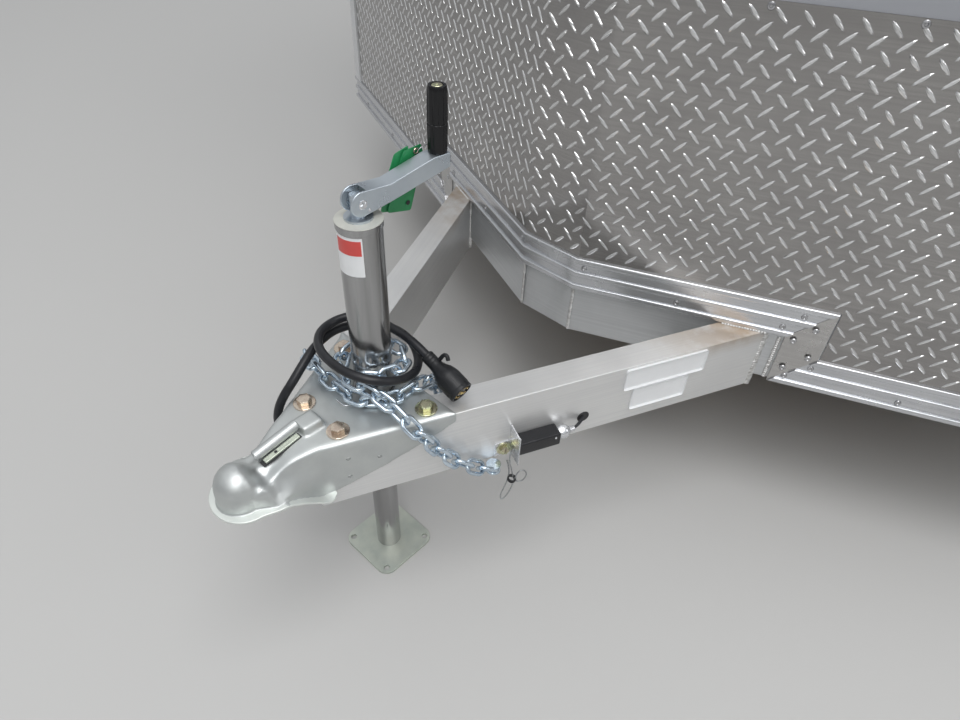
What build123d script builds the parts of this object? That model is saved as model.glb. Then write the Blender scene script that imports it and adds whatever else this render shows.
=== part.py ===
from build123d import *
import os
from math import cos, radians, sin, tan

# Enclosed V-nose cargo trailer on two axles, standing on its tongue jack.
# Millimetres. +X is the trailer's left side, -Y its front, +Z up.
# The origin is on the floor, below the middle of the whole outline.

# Driving sizes of the body
BODY_WIDTH = 2368.0        # over the rub rails
BOX_LENGTH = 4267.0        # straight side, from the front corner to the rear face
BALL_TO_NOSE = 672.8       # ball centre to the flat front of the nose
NOSE_FLAT = 125.8          # width of the flat front face
NOSE_RAKE = 23.58          # degrees that each nose side falls back
FRAME_TOP = 419.1          # height of the frame and tongue above the floor
FRAME_HEIGHT = 101.6
FRAME_TUBE = 50.8          # width of the perimeter tubes
DECK = 19.0                # floor board
WALL = 40.0                # whole thickness of a wall, with its lining
ROOF = 48.0
TRIM_DEPTH = 8.0           # how far the rub rails stand out from the wall
TRIM_HEIGHT = 66.7
GUARD_TOP = 930.0          # top of the tread plate on the nose
GUARD_THICK = 2.0
LOCK_REACH = 35.0          # rear locks beyond the rear frame
DOOR_HEADER = 118.0        # wall above the side door
RAMP_HEADER = 130.0        # rear frame above the ramp door

# Driving sizes of the tongue
RAIL_WIDTH = 50.8
RAIL_HEIGHT = 127.0
RAIL_WALL = 4.8
RAIL_ANGLE = 25.0          # degrees from the centre line to each tongue rail
BALL_TO_APEX = 63.7        # ball centre to the crossing of the rail centre lines
BALL_HEIGHT = 395.1
BALL_RADIUS = 30.0         # socket
COUPLER_STEEL = 3.8
DOME_RADIUS = 34.0
LIP_REACH = 43.0           # front edge of the lip ahead of the ball centre
LIP_STEEL = 3.4
LIP_WIDTH = 9.0            # round the dome
LIP_SIDE = 18.0            # where it is widest, beside the neck
LIP_HEIGHT = 372.0
NECK_WIDTH = 102.0
PLATE_LENGTH = 289.0       # ball centre to the rear edge of the top plate

# Driving sizes of the jack
BALL_TO_JACK = 245.0
JACK_TUBE = 60.0
JACK_TUBE_WALL = 4.0
JACK_TOP = 710.6
JACK_TUBE_BOTTOM = 330.0
JACK_RAM = 45.0
JACK_RAM_WALL = 4.0
JACK_RAM_TOP = 490.0
JACK_COLLAR = 14.0         # guide at the head of the ram
RUN_CLEAR = 0.3            # between pieces that slide or turn in each other
JACK_FOOT = 6.0
JACK_FOOT_SIZE = 125.0
CRANK_TURN = 5.0           # degrees that the crank arm points off the centre line
CRANK_PIVOT = 735.0        # height of the yoke bolt
CRANK_REACH = 129.0
GRIP_BOTTOM = 764.0
GRIP_TOP = 850.0
GRIP_DIAMETER = 27.5

JACK_FLANGE = 6.0
JACK_CAP = 9.0
JACK_CAP_LIP = 1.5
JACK_SHAFT = 19.0
CRANK_COLLAR = 4.0
JACK_FOOT_CORNER = 22.0
JACK_FOOT_HOLE = 11.0
CRANK_YOKE = 17.0          # radius of the rounded yoke cheeks
CRANK_ARM_WIDTH = 26.0
CRANK_SHEET = 3.0
CRANK_BOLT = 10.0
LATCH_WIDTH = 22.0
LATCH_RISE = 13.0
LATCH_SIDE = 3.0
LATCH_START = 34.0         # front end of the latch bar behind the ball
LATCH_LENGTH = 70.0
LATCH_PIN = 22.0           # its pin hole behind that end
LATCH_HOOD = 34.0
LATCH_PIN_HOLE = 6.4
CLAMP_BOTTOM = 374.0
CLAMP_STEEL = 6.0
CLAMP_BOLT = 10.0
BOLT_WASHER = 34.0
BOLT_WASHER_THICK = 2.5
BOLT_HEX = 19.0
BOLT_HEAD = 8.0
BOLT_PLACES = [(40, 143), (97, 263)]   # across from the centre line, behind the ball

CHAIN_WIRE = 7.0
CHAIN_LINK = 44.0          # outside length of a link
CHAIN_LINK_WIDTH = 28.0
CHAIN_PITCH = 28.0
CORD_DIAMETER = 14.0
GROMMET = 6.0
PLUG_SLEEVE = 21.0
PLUG_HEAD = 39.0
PLUG_SLEEVE_LENGTH = 36.0
PLUG_HEAD_LENGTH = 44.0
PLUG_FACE_DEEP = 12.0
PLUG_RIM = 3.0
PLUG_CORE = 17.0
SWITCH_LENGTH = 112.0
SWITCH_HEIGHT = 30.0
SWITCH_DEPTH = 34.0
SWITCH_ALONG = 356.0       # front of the switch, along the rail from its apex
SWITCH_MIDDLE = 322.0      # height of the switch's middle
SWITCH_PLATE = 62.0        # height of its bent bracket
SWITCH_PLATE_THICK = 3.0
SWITCH_PLATE_RISE = 6.0    # middle of the bracket above the case's middle
SWITCH_LUG = (28.0, 30.0)  # the bracket's foot on the rail
LANYARD_WIRE = 2.4

# Driving sizes of the wheels
TYRE_DIAMETER = 664.0
TYRE_WIDTH = 203.0
RIM_DIAMETER = 355.6
WHEEL_SPREAD = 864.0       # between the two axles
AXLE_BACK = 2190.0         # middle between the axles, behind the front corner
TYRE_INSET = 22.0          # tyre inside the wall's outer face
ARCH_GAP = 60.0            # from the tyre to the ends of its opening
ARCH_TOP = 790.0
ARCH_CUT = 105.0           # cut across each upper corner of the opening
ARCH_BAND = 45.0
WELL_STEEL = 3.0
WELL_RISE = 8.0            # top of the wheel box above the opening
WELL_CLEAR = 55.0          # from the tyre's inner side to the wheel box
AXLE_TUBE = 66.0
AXLE_DROP = 58.0           # axle tube below the wheel centre

# Driving sizes of the doors
SIDE_DOOR_BACK = 190.0     # front edge behind the front corner
SIDE_DOOR_WIDTH = 815.0
SIDE_DOOR_HEIGHT = 1830.0
SIDE_DOOR_SILL = 452.0
DOOR_FRAME = 32.0          # band round the side door, on the skin
DOOR_FRAME_DEPTH = 4.0
DOOR_HINGE_RADIUS = 6.0
DOOR_KNUCKLE = 28.0
DOOR_LEAF = 44.0
DOOR_GAP = 6.0
BAR_INSET = 60.0           # the side door's lock bar from its rear edge
BAR_REACH = 26.0           # its ends beyond the door
BAR_HANDLE = 0.38          # its handle, as a share of the door's height
REAR_POST = 118.0
RAMP_THICK = 50.0
RAMP_EDGE = 75.0           # width of the ramp door's edge frame
SIDE_DOOR_EDGE = 55.0
EDGE_STEP = 3.0            # a door's panel behind its edge frame
RAMP_BOTTOM = 388.0
HINGE_RADIUS = 8.0
HINGE_LEAF = 4.0
HINGE_LEAF_HEIGHT = 40.0
HINGE_KNUCKLES = 9
HINGE_END = 60.0           # from the ramp door's side to the hinge
LEDGE_TOP = RAMP_BOTTOM - DOOR_GAP

LANYARD_DROP = 62.0
LANYARD_LOOP = 24.0
BOX_TOP_TRIM = 70.0
CORNER_LEG = 62.0          # how far a front corner post laps each side
POST_RADIUS = 28.0
MAIN_RAIL_UNDER = 16.0     # centre of a main frame rail, inside the wheel box
MAIN_RAIL_WIDTH = 50.8
CROSS_WIDTH = 38.0
CROSS_HEIGHT = 76.0
CROSS_PITCH = 406.0
CROSS_FIRST = 60.0         # the first one, behind the front corner
PLATE_WIDTH = 66.0         # mitred plate where the rub rail steps down
PLATE_INNER = 380.0        # its inner edge, along the raked side from the bend
REAR_DEPTH = 60.0
LOCK_ROD = 19.0
ROD_CLEAR = 6.0            # from a lock's rod to the frame behind it and its cheeks
CHEEK = 10.0
CHEEK_HEIGHT = 40.0
LOCK_INSET = 95.0          # a ramp lock's rod from the side of the door
LOCK_START = 0.357         # foot of its rod, as a share of the door's height
LOCK_END = 60.0            # from the rod's ends to their guides
LOCK_GUIDE = (64.0, 46.0)
ROD_REACH = 34.0           # the rod's head above the door
HANDLE_WIDTH = 24.0
HANDLE_THICK = 10.0
HANDLE_RISE = 150.0
HANDLE_IN = 70.0
RAMP_HANDLE = 190.0
DOOR_HANDLE = 210.0

# Driving sizes of the lamps: across, out of the body and up, or across and up
TAIL_LAMP = (62.0, 22.0, 165.0)
TAIL_LAMP_Z = 930.0
HEADER_LAMP = (100.0, 15.0, 22.0)
HEADER_LAMP_PITCH = 160.0
HEADER_LAMP_DOWN = 45.0    # below the top of the wall
NOSE_LAMP = (100.0, 24.0)
NOSE_LAMP_IN = 150.0       # from the front corner
NOSE_LAMP_DOWN = 115.0
SIDE_LAMP = (64.0, 26.0)
SIDE_LAMP_IN = 110.0       # from the front corner and from the rear frame
SIDE_LAMP_Z = 520.0
LAMP_ROUND = 8.0
LAMP_STAND = 7.5           # how far a marker stands out of the skin

# Sizes worked out from those above
RAKE = radians(NOSE_RAKE)
TONGUE = radians(RAIL_ANGLE)
HALF_WIDTH = BODY_WIDTH / 2
WALL_TOP = SIDE_DOOR_SILL + SIDE_DOOR_HEIGHT + DOOR_HEADER
RAMP_TOP = WALL_TOP - RAMP_HEADER
RAMP_HEIGHT = RAMP_TOP - RAMP_BOTTOM
CORNER_BACK = (HALF_WIDTH - NOSE_FLAT / 2) * tan(RAKE)
OVERALL_LENGTH = LIP_REACH + BALL_TO_NOSE + CORNER_BACK + BOX_LENGTH + LOCK_REACH
BALL_Y = LIP_REACH - OVERALL_LENGTH / 2
APEX_Y = BALL_Y + BALL_TO_APEX
JACK_Y = BALL_Y + BALL_TO_JACK
NOSE_Y = BALL_Y + BALL_TO_NOSE
REAR_Y = NOSE_Y + CORNER_BACK + BOX_LENGTH
FRAME_BOTTOM = FRAME_TOP - FRAME_HEIGHT
RAIL_BOTTOM = FRAME_TOP - RAIL_HEIGHT
DECK_TOP = FRAME_TOP + DECK
SKIN_IN = TRIM_DEPTH
LINING_IN = TRIM_DEPTH + WALL
FRAME_IN = TRIM_DEPTH + FRAME_TUBE
LOW_TRIM_BOTTOM = FRAME_BOTTOM - 1.5
LOW_TRIM_TOP = LOW_TRIM_BOTTOM + TRIM_HEIGHT
HIGH_TRIM_BOTTOM = FRAME_TOP
HIGH_TRIM_TOP = HIGH_TRIM_BOTTOM + TRIM_HEIGHT
PLATE_TOP = FRAME_TOP + COUPLER_STEEL
TYRE_RADIUS = TYRE_DIAMETER / 2
LATCH_FRONT_Y = BALL_Y + LATCH_START
LATCH_BACK_Y = LATCH_FRONT_Y + LATCH_LENGTH
LATCH_PIN_Y = LATCH_FRONT_Y + LATCH_PIN
JACK_FLANGE_PLAN = [
    (-66, JACK_Y + 38),
    (-31, JACK_Y - 40),
    (31, JACK_Y - 40),
    (66, JACK_Y + 38),
]
# Side view of the crank arm, from the yoke to its end
CRANK_SIDE = [
    (0, CRANK_PIVOT - CRANK_YOKE),
    (44, CRANK_PIVOT - 10),
    (CRANK_REACH + 12, GRIP_BOTTOM - 20),
    (CRANK_REACH + 12, GRIP_BOTTOM),
    (CRANK_REACH - 16, GRIP_BOTTOM),
    (44, CRANK_PIVOT + 14),
    (0, CRANK_PIVOT + CRANK_YOKE),
]

os.makedirs("parts", exist_ok=True)


# Plan of the nose: a point on the raked side, a given distance inside the trim's face
def rake_x(y, inset):
    return NOSE_FLAT / 2 - inset * sin(RAKE) + (y - NOSE_Y - inset * cos(RAKE)) / tan(RAKE)


def rake_y(x, inset):
    return NOSE_Y + inset * cos(RAKE) + (x - NOSE_FLAT / 2 + inset * sin(RAKE)) * tan(RAKE)


def bend(inset):
    return (NOSE_FLAT / 2 - inset * tan(RAKE / 2), NOSE_Y + inset)


def corner(inset):
    return (HALF_WIDTH - inset, rake_y(HALF_WIDTH - inset, inset))


# A point on the raked side, by its distance from the bend along the trim's face
def rake_point(along, inset):
    return (
        NOSE_FLAT / 2 + along * cos(RAKE) - inset * sin(RAKE),
        NOSE_Y + along * sin(RAKE) + inset * cos(RAKE),
    )


def mirrored(points):
    return [(-x, y) for x, y in reversed(points)]


def tongue_x(y, offset):
    return (y - APEX_Y) * tan(TONGUE) + offset / cos(TONGUE)


# Where a line beside the tongue rail's centre meets the raked side
def tongue_end(offset, inset):
    start = NOSE_Y + inset * cos(RAKE) - (NOSE_FLAT / 2 - inset * sin(RAKE)) * tan(RAKE)
    x = ((start - APEX_Y) * tan(TONGUE) + offset / cos(TONGUE)) / (1 - tan(RAKE) * tan(TONGUE))
    return (x, start + x * tan(RAKE))


# Tongue rails: two aluminium tubes, mitred together ahead and cut to the nose behind
RAIL_FRONT_Y = BALL_Y + 96.0


def rail_plan(half, front, inset):
    return [
        (0, front),
        (tongue_x(front, half), front),
        tongue_end(half, inset),
        tongue_end(-half, inset),
        (0, APEX_Y + half / sin(TONGUE)),
    ]


for side, turn in (("left", 1), ("right", -1)):
    outer = [(turn * x, y) for x, y in rail_plan(RAIL_WIDTH / 2, RAIL_FRONT_Y, SKIN_IN)]
    inner = [
        (turn * x, y) for x, y in rail_plan(RAIL_WIDTH / 2 - RAIL_WALL, RAIL_FRONT_Y - 1, SKIN_IN + 1)
    ]
    with BuildPart() as tongue_rail:
        with BuildSketch(Plane.XY.offset(RAIL_BOTTOM)):
            with BuildLine():
                Polyline(*outer, close=True)
            make_face()
        extrude(amount=RAIL_HEIGHT)
        with BuildSketch(Plane.XY.offset(RAIL_BOTTOM + RAIL_WALL)):
            with BuildLine():
                Polyline(*inner, close=True)
            make_face()
        extrude(amount=RAIL_HEIGHT - 2 * RAIL_WALL, mode=Mode.SUBTRACT)
    tongue_rail.part.label = f"tongue_rail_{side}"
    export_step(tongue_rail.part, f"parts/tongue_rail_{side}.step")

# Coupler: one pressed shell with a ball dome, a flared lip, side flanges and a flat top
NECK_Y = BALL_Y + 24.0
FLANGE_END_Y = BALL_Y + PLATE_LENGTH
NECK_BACK_Y = APEX_Y + (NECK_WIDTH / 2 - COUPLER_STEEL - RAIL_WIDTH / 2 / cos(TONGUE)) / tan(TONGUE)


def coupler_half_plan(grow):
    flange = RAIL_WIDTH / 2 + (COUPLER_STEEL + grow) * cos(TONGUE)
    return [
        (DOME_RADIUS + grow, BALL_Y),
        (NECK_WIDTH / 2 + grow, NECK_Y),
        (NECK_WIDTH / 2 + grow, NECK_BACK_Y),
        (tongue_x(FLANGE_END_Y, flange), FLANGE_END_Y),
    ]


# Side view of the shell: its lower edge from the front to the rear, then its top
LOWER_EDGE = [
    (BALL_Y + 36, LIP_HEIGHT),
    (BALL_Y + 98, LIP_HEIGHT - 50),
    (BALL_Y + 112, LIP_HEIGHT - 50),
    (BALL_Y + 184, LIP_HEIGHT - 22),
    (BALL_Y + 250, LIP_HEIGHT + 10),
]
SHELL_FRONT = BALL_Y - LIP_REACH - 10


def shell_top(drop):
    return [
        (BALL_Y + 66, PLATE_TOP - drop),
        (BALL_Y + 42, PLATE_TOP - 7 - drop),
        (BALL_Y + 18, PLATE_TOP - 12 - drop),
        (BALL_Y, BALL_HEIGHT - drop),
    ]


with BuildPart() as coupler_body:
    with BuildSketch(Plane.YZ):
        with BuildLine():
            Polyline(
                (SHELL_FRONT, LIP_HEIGHT),
                *LOWER_EDGE,
                (FLANGE_END_Y, PLATE_TOP - 17),
                (FLANGE_END_Y, PLATE_TOP),
                *shell_top(0),
                (SHELL_FRONT, BALL_HEIGHT),
                close=True,
            )
        make_face()
    extrude(amount=HALF_WIDTH, both=True)
    with BuildSketch(Plane.XY):
        with BuildLine():
            right = coupler_half_plan(0)
            left = mirrored(right)
            ThreePointArc(left[-1], (0, BALL_Y - DOME_RADIUS), right[0])
            Polyline(*right, *left)
        make_face()
    extrude(amount=PLATE_TOP, mode=Mode.INTERSECT)
    with Locations((0, BALL_Y, BALL_HEIGHT)):
        Sphere(DOME_RADIUS, arc_size1=0, align=(Align.CENTER, Align.CENTER, Align.MIN))
    with BuildSketch(Plane.YZ, mode=Mode.PRIVATE) as hollow_side:
        with BuildLine():
            Polyline(
                (SHELL_FRONT, RAIL_BOTTOM),
                (FLANGE_END_Y + 1, RAIL_BOTTOM),
                (FLANGE_END_Y + 1, FRAME_TOP),
                *shell_top(COUPLER_STEEL),
                (SHELL_FRONT, BALL_HEIGHT - COUPLER_STEEL),
                close=True,
            )
        make_face()
    with BuildSketch(Plane.XY, mode=Mode.PRIVATE) as hollow_plan:
        with BuildLine():
            right = coupler_half_plan(-COUPLER_STEEL)
            right.append((tongue_x(FLANGE_END_Y + 2, RAIL_WIDTH / 2), FLANGE_END_Y + 2))
            left = mirrored(right)
            ThreePointArc(left[-1], (0, BALL_Y - DOME_RADIUS + COUPLER_STEEL), right[0])
            Polyline(*right, *left)
        make_face()
    hollow = extrude(hollow_side.sketch, amount=HALF_WIDTH, both=True, mode=Mode.PRIVATE)
    hollow = hollow & extrude(hollow_plan.sketch, amount=PLATE_TOP, mode=Mode.PRIVATE)
    add(hollow, mode=Mode.SUBTRACT)
    with Locations((0, BALL_Y, BALL_HEIGHT)):
        Sphere(BALL_RADIUS, mode=Mode.SUBTRACT)
    # The lip is a flange that follows the lower edge round the ball and down to the rails
    with BuildSketch(Plane.YZ, mode=Mode.PRIVATE) as lip_side:
        with BuildLine():
            Polyline(
                (SHELL_FRONT, LIP_HEIGHT),
                *LOWER_EDGE[:3],
                (LOWER_EDGE[2][0], LOWER_EDGE[2][1] + LIP_STEEL),
                (LOWER_EDGE[1][0], LOWER_EDGE[1][1] + LIP_STEEL),
                (LOWER_EDGE[0][0], LOWER_EDGE[0][1] + LIP_STEEL),
                (SHELL_FRONT, LIP_HEIGHT + LIP_STEEL),
                close=True,
            )
        make_face()
    with BuildSketch(Plane.XY, mode=Mode.PRIVATE) as lip_plan:
        with BuildLine():
            right = [
                *coupler_half_plan(LIP_WIDTH)[:2],
                (NECK_WIDTH / 2 + LIP_SIDE, LOWER_EDGE[1][0]),
                (NECK_WIDTH / 2 + LIP_WIDTH, LOWER_EDGE[2][0]),
                (NECK_WIDTH / 2 + LIP_WIDTH, LOWER_EDGE[2][0] + 1),
            ]
            left = mirrored(right)
            ThreePointArc(left[-1], (0, BALL_Y - LIP_REACH), right[0])
            Polyline(*right, *left)
        make_face()
        with BuildLine():
            right = coupler_half_plan(-COUPLER_STEEL / 2)
            right.append((tongue_x(FLANGE_END_Y + 2, RAIL_WIDTH / 2), FLANGE_END_Y + 2))
            left = mirrored(right)
            ThreePointArc(left[-1], (0, BALL_Y - DOME_RADIUS + COUPLER_STEEL / 2), right[0])
            Polyline(*right, *left)
        make_face(mode=Mode.SUBTRACT)
    lip = extrude(lip_side.sketch, amount=HALF_WIDTH, both=True, mode=Mode.PRIVATE)
    lip = lip & extrude(lip_plan.sketch, amount=PLATE_TOP, mode=Mode.PRIVATE)
    add(lip)
    # The raised channel that guides the latch bar
    with BuildSketch(Plane.XZ.offset(-LATCH_BACK_Y)):
        with BuildLine():
            Polyline(
                (-LATCH_WIDTH / 2 - LATCH_SIDE - 5, PLATE_TOP - 1),
                (-LATCH_WIDTH / 2 - LATCH_SIDE, PLATE_TOP + LATCH_RISE),
                (LATCH_WIDTH / 2 + LATCH_SIDE, PLATE_TOP + LATCH_RISE),
                (LATCH_WIDTH / 2 + LATCH_SIDE + 5, PLATE_TOP - 1),
                close=True,
            )
        make_face()
    extrude(amount=-LATCH_HOOD)
    with Locations((0, JACK_Y, PLATE_TOP)):
        Cylinder(JACK_TUBE / 2 + 0.4, 4 * COUPLER_STEEL, mode=Mode.SUBTRACT)
coupler_body.part.label = "coupler_body"
export_step(coupler_body.part, "parts/coupler_body.step")

# Latch: a flat bar in front of the hood, with a hole for its locking pin
with BuildPart() as coupler_latch:
    with Locations((0, (LATCH_FRONT_Y + LATCH_BACK_Y) / 2, PLATE_TOP)):
        Box(
            LATCH_WIDTH,
            LATCH_BACK_Y - LATCH_FRONT_Y,
            LATCH_RISE,
            align=(Align.CENTER, Align.CENTER, Align.MIN),
        )
    fillet(coupler_latch.edges().filter_by(Axis.Y).group_by(Axis.Z)[-1], LATCH_RISE / 4)
    with Locations((0, LATCH_PIN_Y, PLATE_TOP + LATCH_RISE / 2)):
        Cylinder(LATCH_PIN_HOLE / 2, LATCH_WIDTH + 2, rotation=(0, 90, 0), mode=Mode.SUBTRACT)
coupler_latch.part.label = "coupler_latch"
export_step(coupler_latch.part, "parts/coupler_latch.step")

# Clamp under the ball: a curved jaw on a bolt that hangs from the neck
with BuildPart() as coupler_clamp:
    with BuildSketch(Plane.XY.offset(CLAMP_BOTTOM)):
        with Locations((0, BALL_Y)):
            Circle(BALL_RADIUS + CLAMP_STEEL + 1)
            Circle(BALL_RADIUS + 1, mode=Mode.SUBTRACT)
        with Locations((0, BALL_Y - BALL_RADIUS)):
            Rectangle(4 * BALL_RADIUS, 3 * BALL_RADIUS, mode=Mode.SUBTRACT)
    extrude(amount=BALL_HEIGHT - 4 - CLAMP_BOTTOM)
    with BuildSketch(Plane.XY.offset(CLAMP_BOTTOM)):
        with Locations((0, BALL_Y + BALL_RADIUS + 16)):
            Rectangle(2 * CLAMP_STEEL + 10, 24)
    extrude(amount=CLAMP_STEEL)
    with BuildSketch(Plane.XY.offset(CLAMP_BOTTOM)):
        with Locations((0, BALL_Y + BALL_RADIUS + 20)):
            Circle(CLAMP_BOLT / 2)
    extrude(amount=PLATE_TOP - 6.4 - COUPLER_STEEL - CLAMP_BOTTOM)
coupler_clamp.part.label = "coupler_clamp"
export_step(coupler_clamp.part, "parts/coupler_clamp.step")

# Coupler bolts: hexagon heads on washers, through the plate into the rails
with BuildPart() as coupler_bolts:
    with BuildSketch(Plane.XY.offset(PLATE_TOP)):
        with Locations(*[(sign * x, BALL_Y + y) for sign in (1, -1) for x, y in BOLT_PLACES]):
            Circle(BOLT_WASHER / 2)
    extrude(amount=BOLT_WASHER_THICK)
    with BuildSketch(Plane.XY.offset(PLATE_TOP + BOLT_WASHER_THICK)):
        with Locations(*[(sign * x, BALL_Y + y) for sign in (1, -1) for x, y in BOLT_PLACES]):
            RegularPolygon(BOLT_HEX / 2, 6, major_radius=False)
    extrude(amount=BOLT_HEAD)
coupler_bolts.part.label = "coupler_bolts"
export_step(coupler_bolts.part, "parts/coupler_bolts.step")

# Jack: a tube with its cap and mounting flange, a ram with a foot plate, and a crank
with BuildPart() as jack_tube:
    with BuildSketch(Plane.XY.offset(FRAME_TOP - JACK_FLANGE)):
        with BuildLine():
            Polyline(*JACK_FLANGE_PLAN, close=True)
        make_face()
        with Locations((0, JACK_Y)):
            Circle(JACK_TUBE / 2 - JACK_TUBE_WALL, mode=Mode.SUBTRACT)
    extrude(amount=JACK_FLANGE)
    with BuildSketch(Plane.XY.offset(JACK_TUBE_BOTTOM)):
        with Locations((0, JACK_Y)):
            Circle(JACK_TUBE / 2)
            Circle(JACK_TUBE / 2 - JACK_TUBE_WALL, mode=Mode.SUBTRACT)
    extrude(amount=JACK_TOP - JACK_TUBE_BOTTOM)
    with BuildSketch(Plane.XY.offset(JACK_TOP - JACK_CAP)):
        with Locations((0, JACK_Y)):
            Circle(JACK_TUBE / 2 + JACK_CAP_LIP)
            Circle(JACK_SHAFT / 2 + 1, mode=Mode.SUBTRACT)
    extrude(amount=JACK_CAP)
jack_tube.part.label = "jack_tube"
export_step(jack_tube.part, "parts/jack_tube.step")

with BuildPart() as jack_ram:
    with BuildSketch(Plane.XY.offset(JACK_FOOT)):
        with Locations((0, JACK_Y)):
            Circle(JACK_RAM / 2)
            Circle(JACK_RAM / 2 - JACK_RAM_WALL, mode=Mode.SUBTRACT)
    extrude(amount=JACK_RAM_TOP - JACK_FOOT)
    with BuildSketch(Plane.XY.offset(JACK_RAM_TOP - JACK_COLLAR)):
        with Locations((0, JACK_Y)):
            Circle(JACK_TUBE / 2 - JACK_TUBE_WALL - RUN_CLEAR)
            Circle(JACK_RAM / 2 - JACK_RAM_WALL, mode=Mode.SUBTRACT)
    extrude(amount=JACK_COLLAR)
jack_ram.part.label = "jack_ram"
export_step(jack_ram.part, "parts/jack_ram.step")

with BuildPart() as jack_foot:
    with BuildSketch():
        with Locations((0, JACK_Y)):
            RectangleRounded(JACK_FOOT_SIZE, JACK_FOOT_SIZE, JACK_FOOT_CORNER)
        with Locations((0, JACK_Y)):
            with PolarLocations(JACK_FOOT_SIZE * 0.55, 4, start_angle=45):
                Circle(JACK_FOOT_HOLE / 2, mode=Mode.SUBTRACT)
    extrude(amount=JACK_FOOT)
jack_foot.part.label = "jack_foot"
export_step(jack_foot.part, "parts/jack_foot.step")

# Crank: its shaft and yoke head stand on the tube, the arm is a pressed channel
CRANK_ANGLE = radians(CRANK_TURN)
CRANK_PLANE = Plane(
    origin=(0, JACK_Y, 0),
    x_dir=(sin(CRANK_ANGLE), cos(CRANK_ANGLE), 0),
    z_dir=(cos(CRANK_ANGLE), -sin(CRANK_ANGLE), 0),
)
GRIP_PLACE = (sin(CRANK_ANGLE) * CRANK_REACH, JACK_Y + cos(CRANK_ANGLE) * CRANK_REACH)
with BuildPart() as jack_crank:
    with BuildSketch(CRANK_PLANE):
        with BuildLine():
            Polyline(*CRANK_SIDE, close=True)
        make_face()
        with Locations((0, CRANK_PIVOT)):
            Circle(CRANK_YOKE)
    extrude(amount=CRANK_ARM_WIDTH / 2, both=True)
    with BuildSketch(CRANK_PLANE):
        with BuildLine():
            Polyline(*[(x, z - CRANK_SHEET) for x, z in CRANK_SIDE], close=True)
        make_face()
        with Locations((0, CRANK_PIVOT)):
            Circle(CRANK_YOKE + 1)
    extrude(amount=CRANK_ARM_WIDTH / 2 - CRANK_SHEET, both=True, mode=Mode.SUBTRACT)
jack_crank.part.label = "jack_crank"
export_step(jack_crank.part, "parts/jack_crank.step")

with BuildPart() as crank_head:
    with BuildSketch(Plane.XY.offset(JACK_TOP + 0.5)):
        with Locations((0, JACK_Y)):
            Circle(JACK_SHAFT)
    extrude(amount=CRANK_COLLAR)
    with BuildSketch(Plane.XY.offset(JACK_TOP + 0.5 + CRANK_COLLAR)):
        with Locations((0, JACK_Y)):
            Circle(JACK_SHAFT / 2)
    extrude(amount=CRANK_PIVOT + JACK_SHAFT / 2 - JACK_TOP - 0.5 - CRANK_COLLAR)
    with BuildSketch(CRANK_PLANE):
        with Locations((0, CRANK_PIVOT)):
            Circle(CRANK_BOLT / 2)
    extrude(amount=CRANK_ARM_WIDTH / 2 - CRANK_SHEET - 0.3, both=True)
crank_head.part.label = "crank_head"
export_step(crank_head.part, "parts/crank_head.step")

with BuildPart() as crank_grip:
    with BuildSketch(Plane.XY.offset(GRIP_BOTTOM)):
        with Locations(GRIP_PLACE):
            Circle(GRIP_DIAMETER / 2)
    extrude(amount=GRIP_TOP - GRIP_BOTTOM)
    fillet(crank_grip.edges().group_by(Axis.Z)[-1], 3)
crank_grip.part.label = "crank_grip"
export_step(crank_grip.part, "parts/crank_grip.step")

# Safety chains: links of round wire, each turned a quarter from the one before
CHAIN_LEFT_ROUTE = [
    (172, 340, 276),
    (160, 306, 303),
    (151, 287, 320),
    (142, 269, 340),
    (135, 251, 369),
    (129, 235, 397),
    (124, 221, 422),
    (110, 213, 441),
    (92, 211, 449),
    (72, 207, 462),
    (48, 201, 467),
    (24, 197, 467),
]
CHAIN_RIGHT_ROUTE = [
    (-168, 332, 276),
    (-158, 304, 300),
    (-147, 276, 328),
    (-140, 246, 360),
    (-132, 221, 398),
    (-124, 206, 428),
    (-104, 197, 441),
    (-78, 193, 440),
    (-46, 191, 438),
    (-16, 190, 437),
    (14, 193, 437),
    (38, 203, 437),
    (54, 224, 437),
    (61, 252, 437),
    (60, 280, 437),
    (61, 300, 434),
    (62, 318, 418),
    (62, 323, 390),
    (62, 323, 330),
]
RING_RADIUS = 50.0
RING_HEIGHT = 467.0
RING_TURN = 262            # degrees that the left chain's end runs round the jack tube
RING_STEP = 27


# Points where one link hangs in the next, a pitch apart along the route
def chain_joints(route):
    points = [Vector(x, y, z) for x, y, z in route]
    joints = [points[0]]
    for start, end in zip(points, points[1:]):
        while (end - joints[-1]).length >= CHAIN_PITCH:
            run = (end - start).normalized()
            back = joints[-1] - start
            ahead = back.dot(run)
            aside = (back - run * ahead).length
            joints.append(start + run * (ahead + (CHAIN_PITCH**2 - aside**2) ** 0.5))
    return joints


# One plane for each link: its long side runs between two joints, and its face
# stands a quarter turn from the link before
def link_planes(joints):
    planes = []
    face = None
    for start, end in zip(joints, joints[1:]):
        along = (end - start).normalized()
        if face is None:
            side = along.cross(Vector(0, 0, 1)).normalized()
            face = (side + side.cross(along)).normalized()
        else:
            face = along.cross(face).normalized()
        planes.append(Plane(origin=(start + end) / 2, x_dir=along, z_dir=face))
    return planes


def link_outline(length, width, cut):
    return [
        (length / 2, width / 2 - cut),
        (length / 2 - cut, width / 2),
        (cut - length / 2, width / 2),
        (-length / 2, width / 2 - cut),
        (-length / 2, cut - width / 2),
        (cut - length / 2, -width / 2),
        (length / 2 - cut, -width / 2),
        (length / 2, cut - width / 2),
    ]


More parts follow.
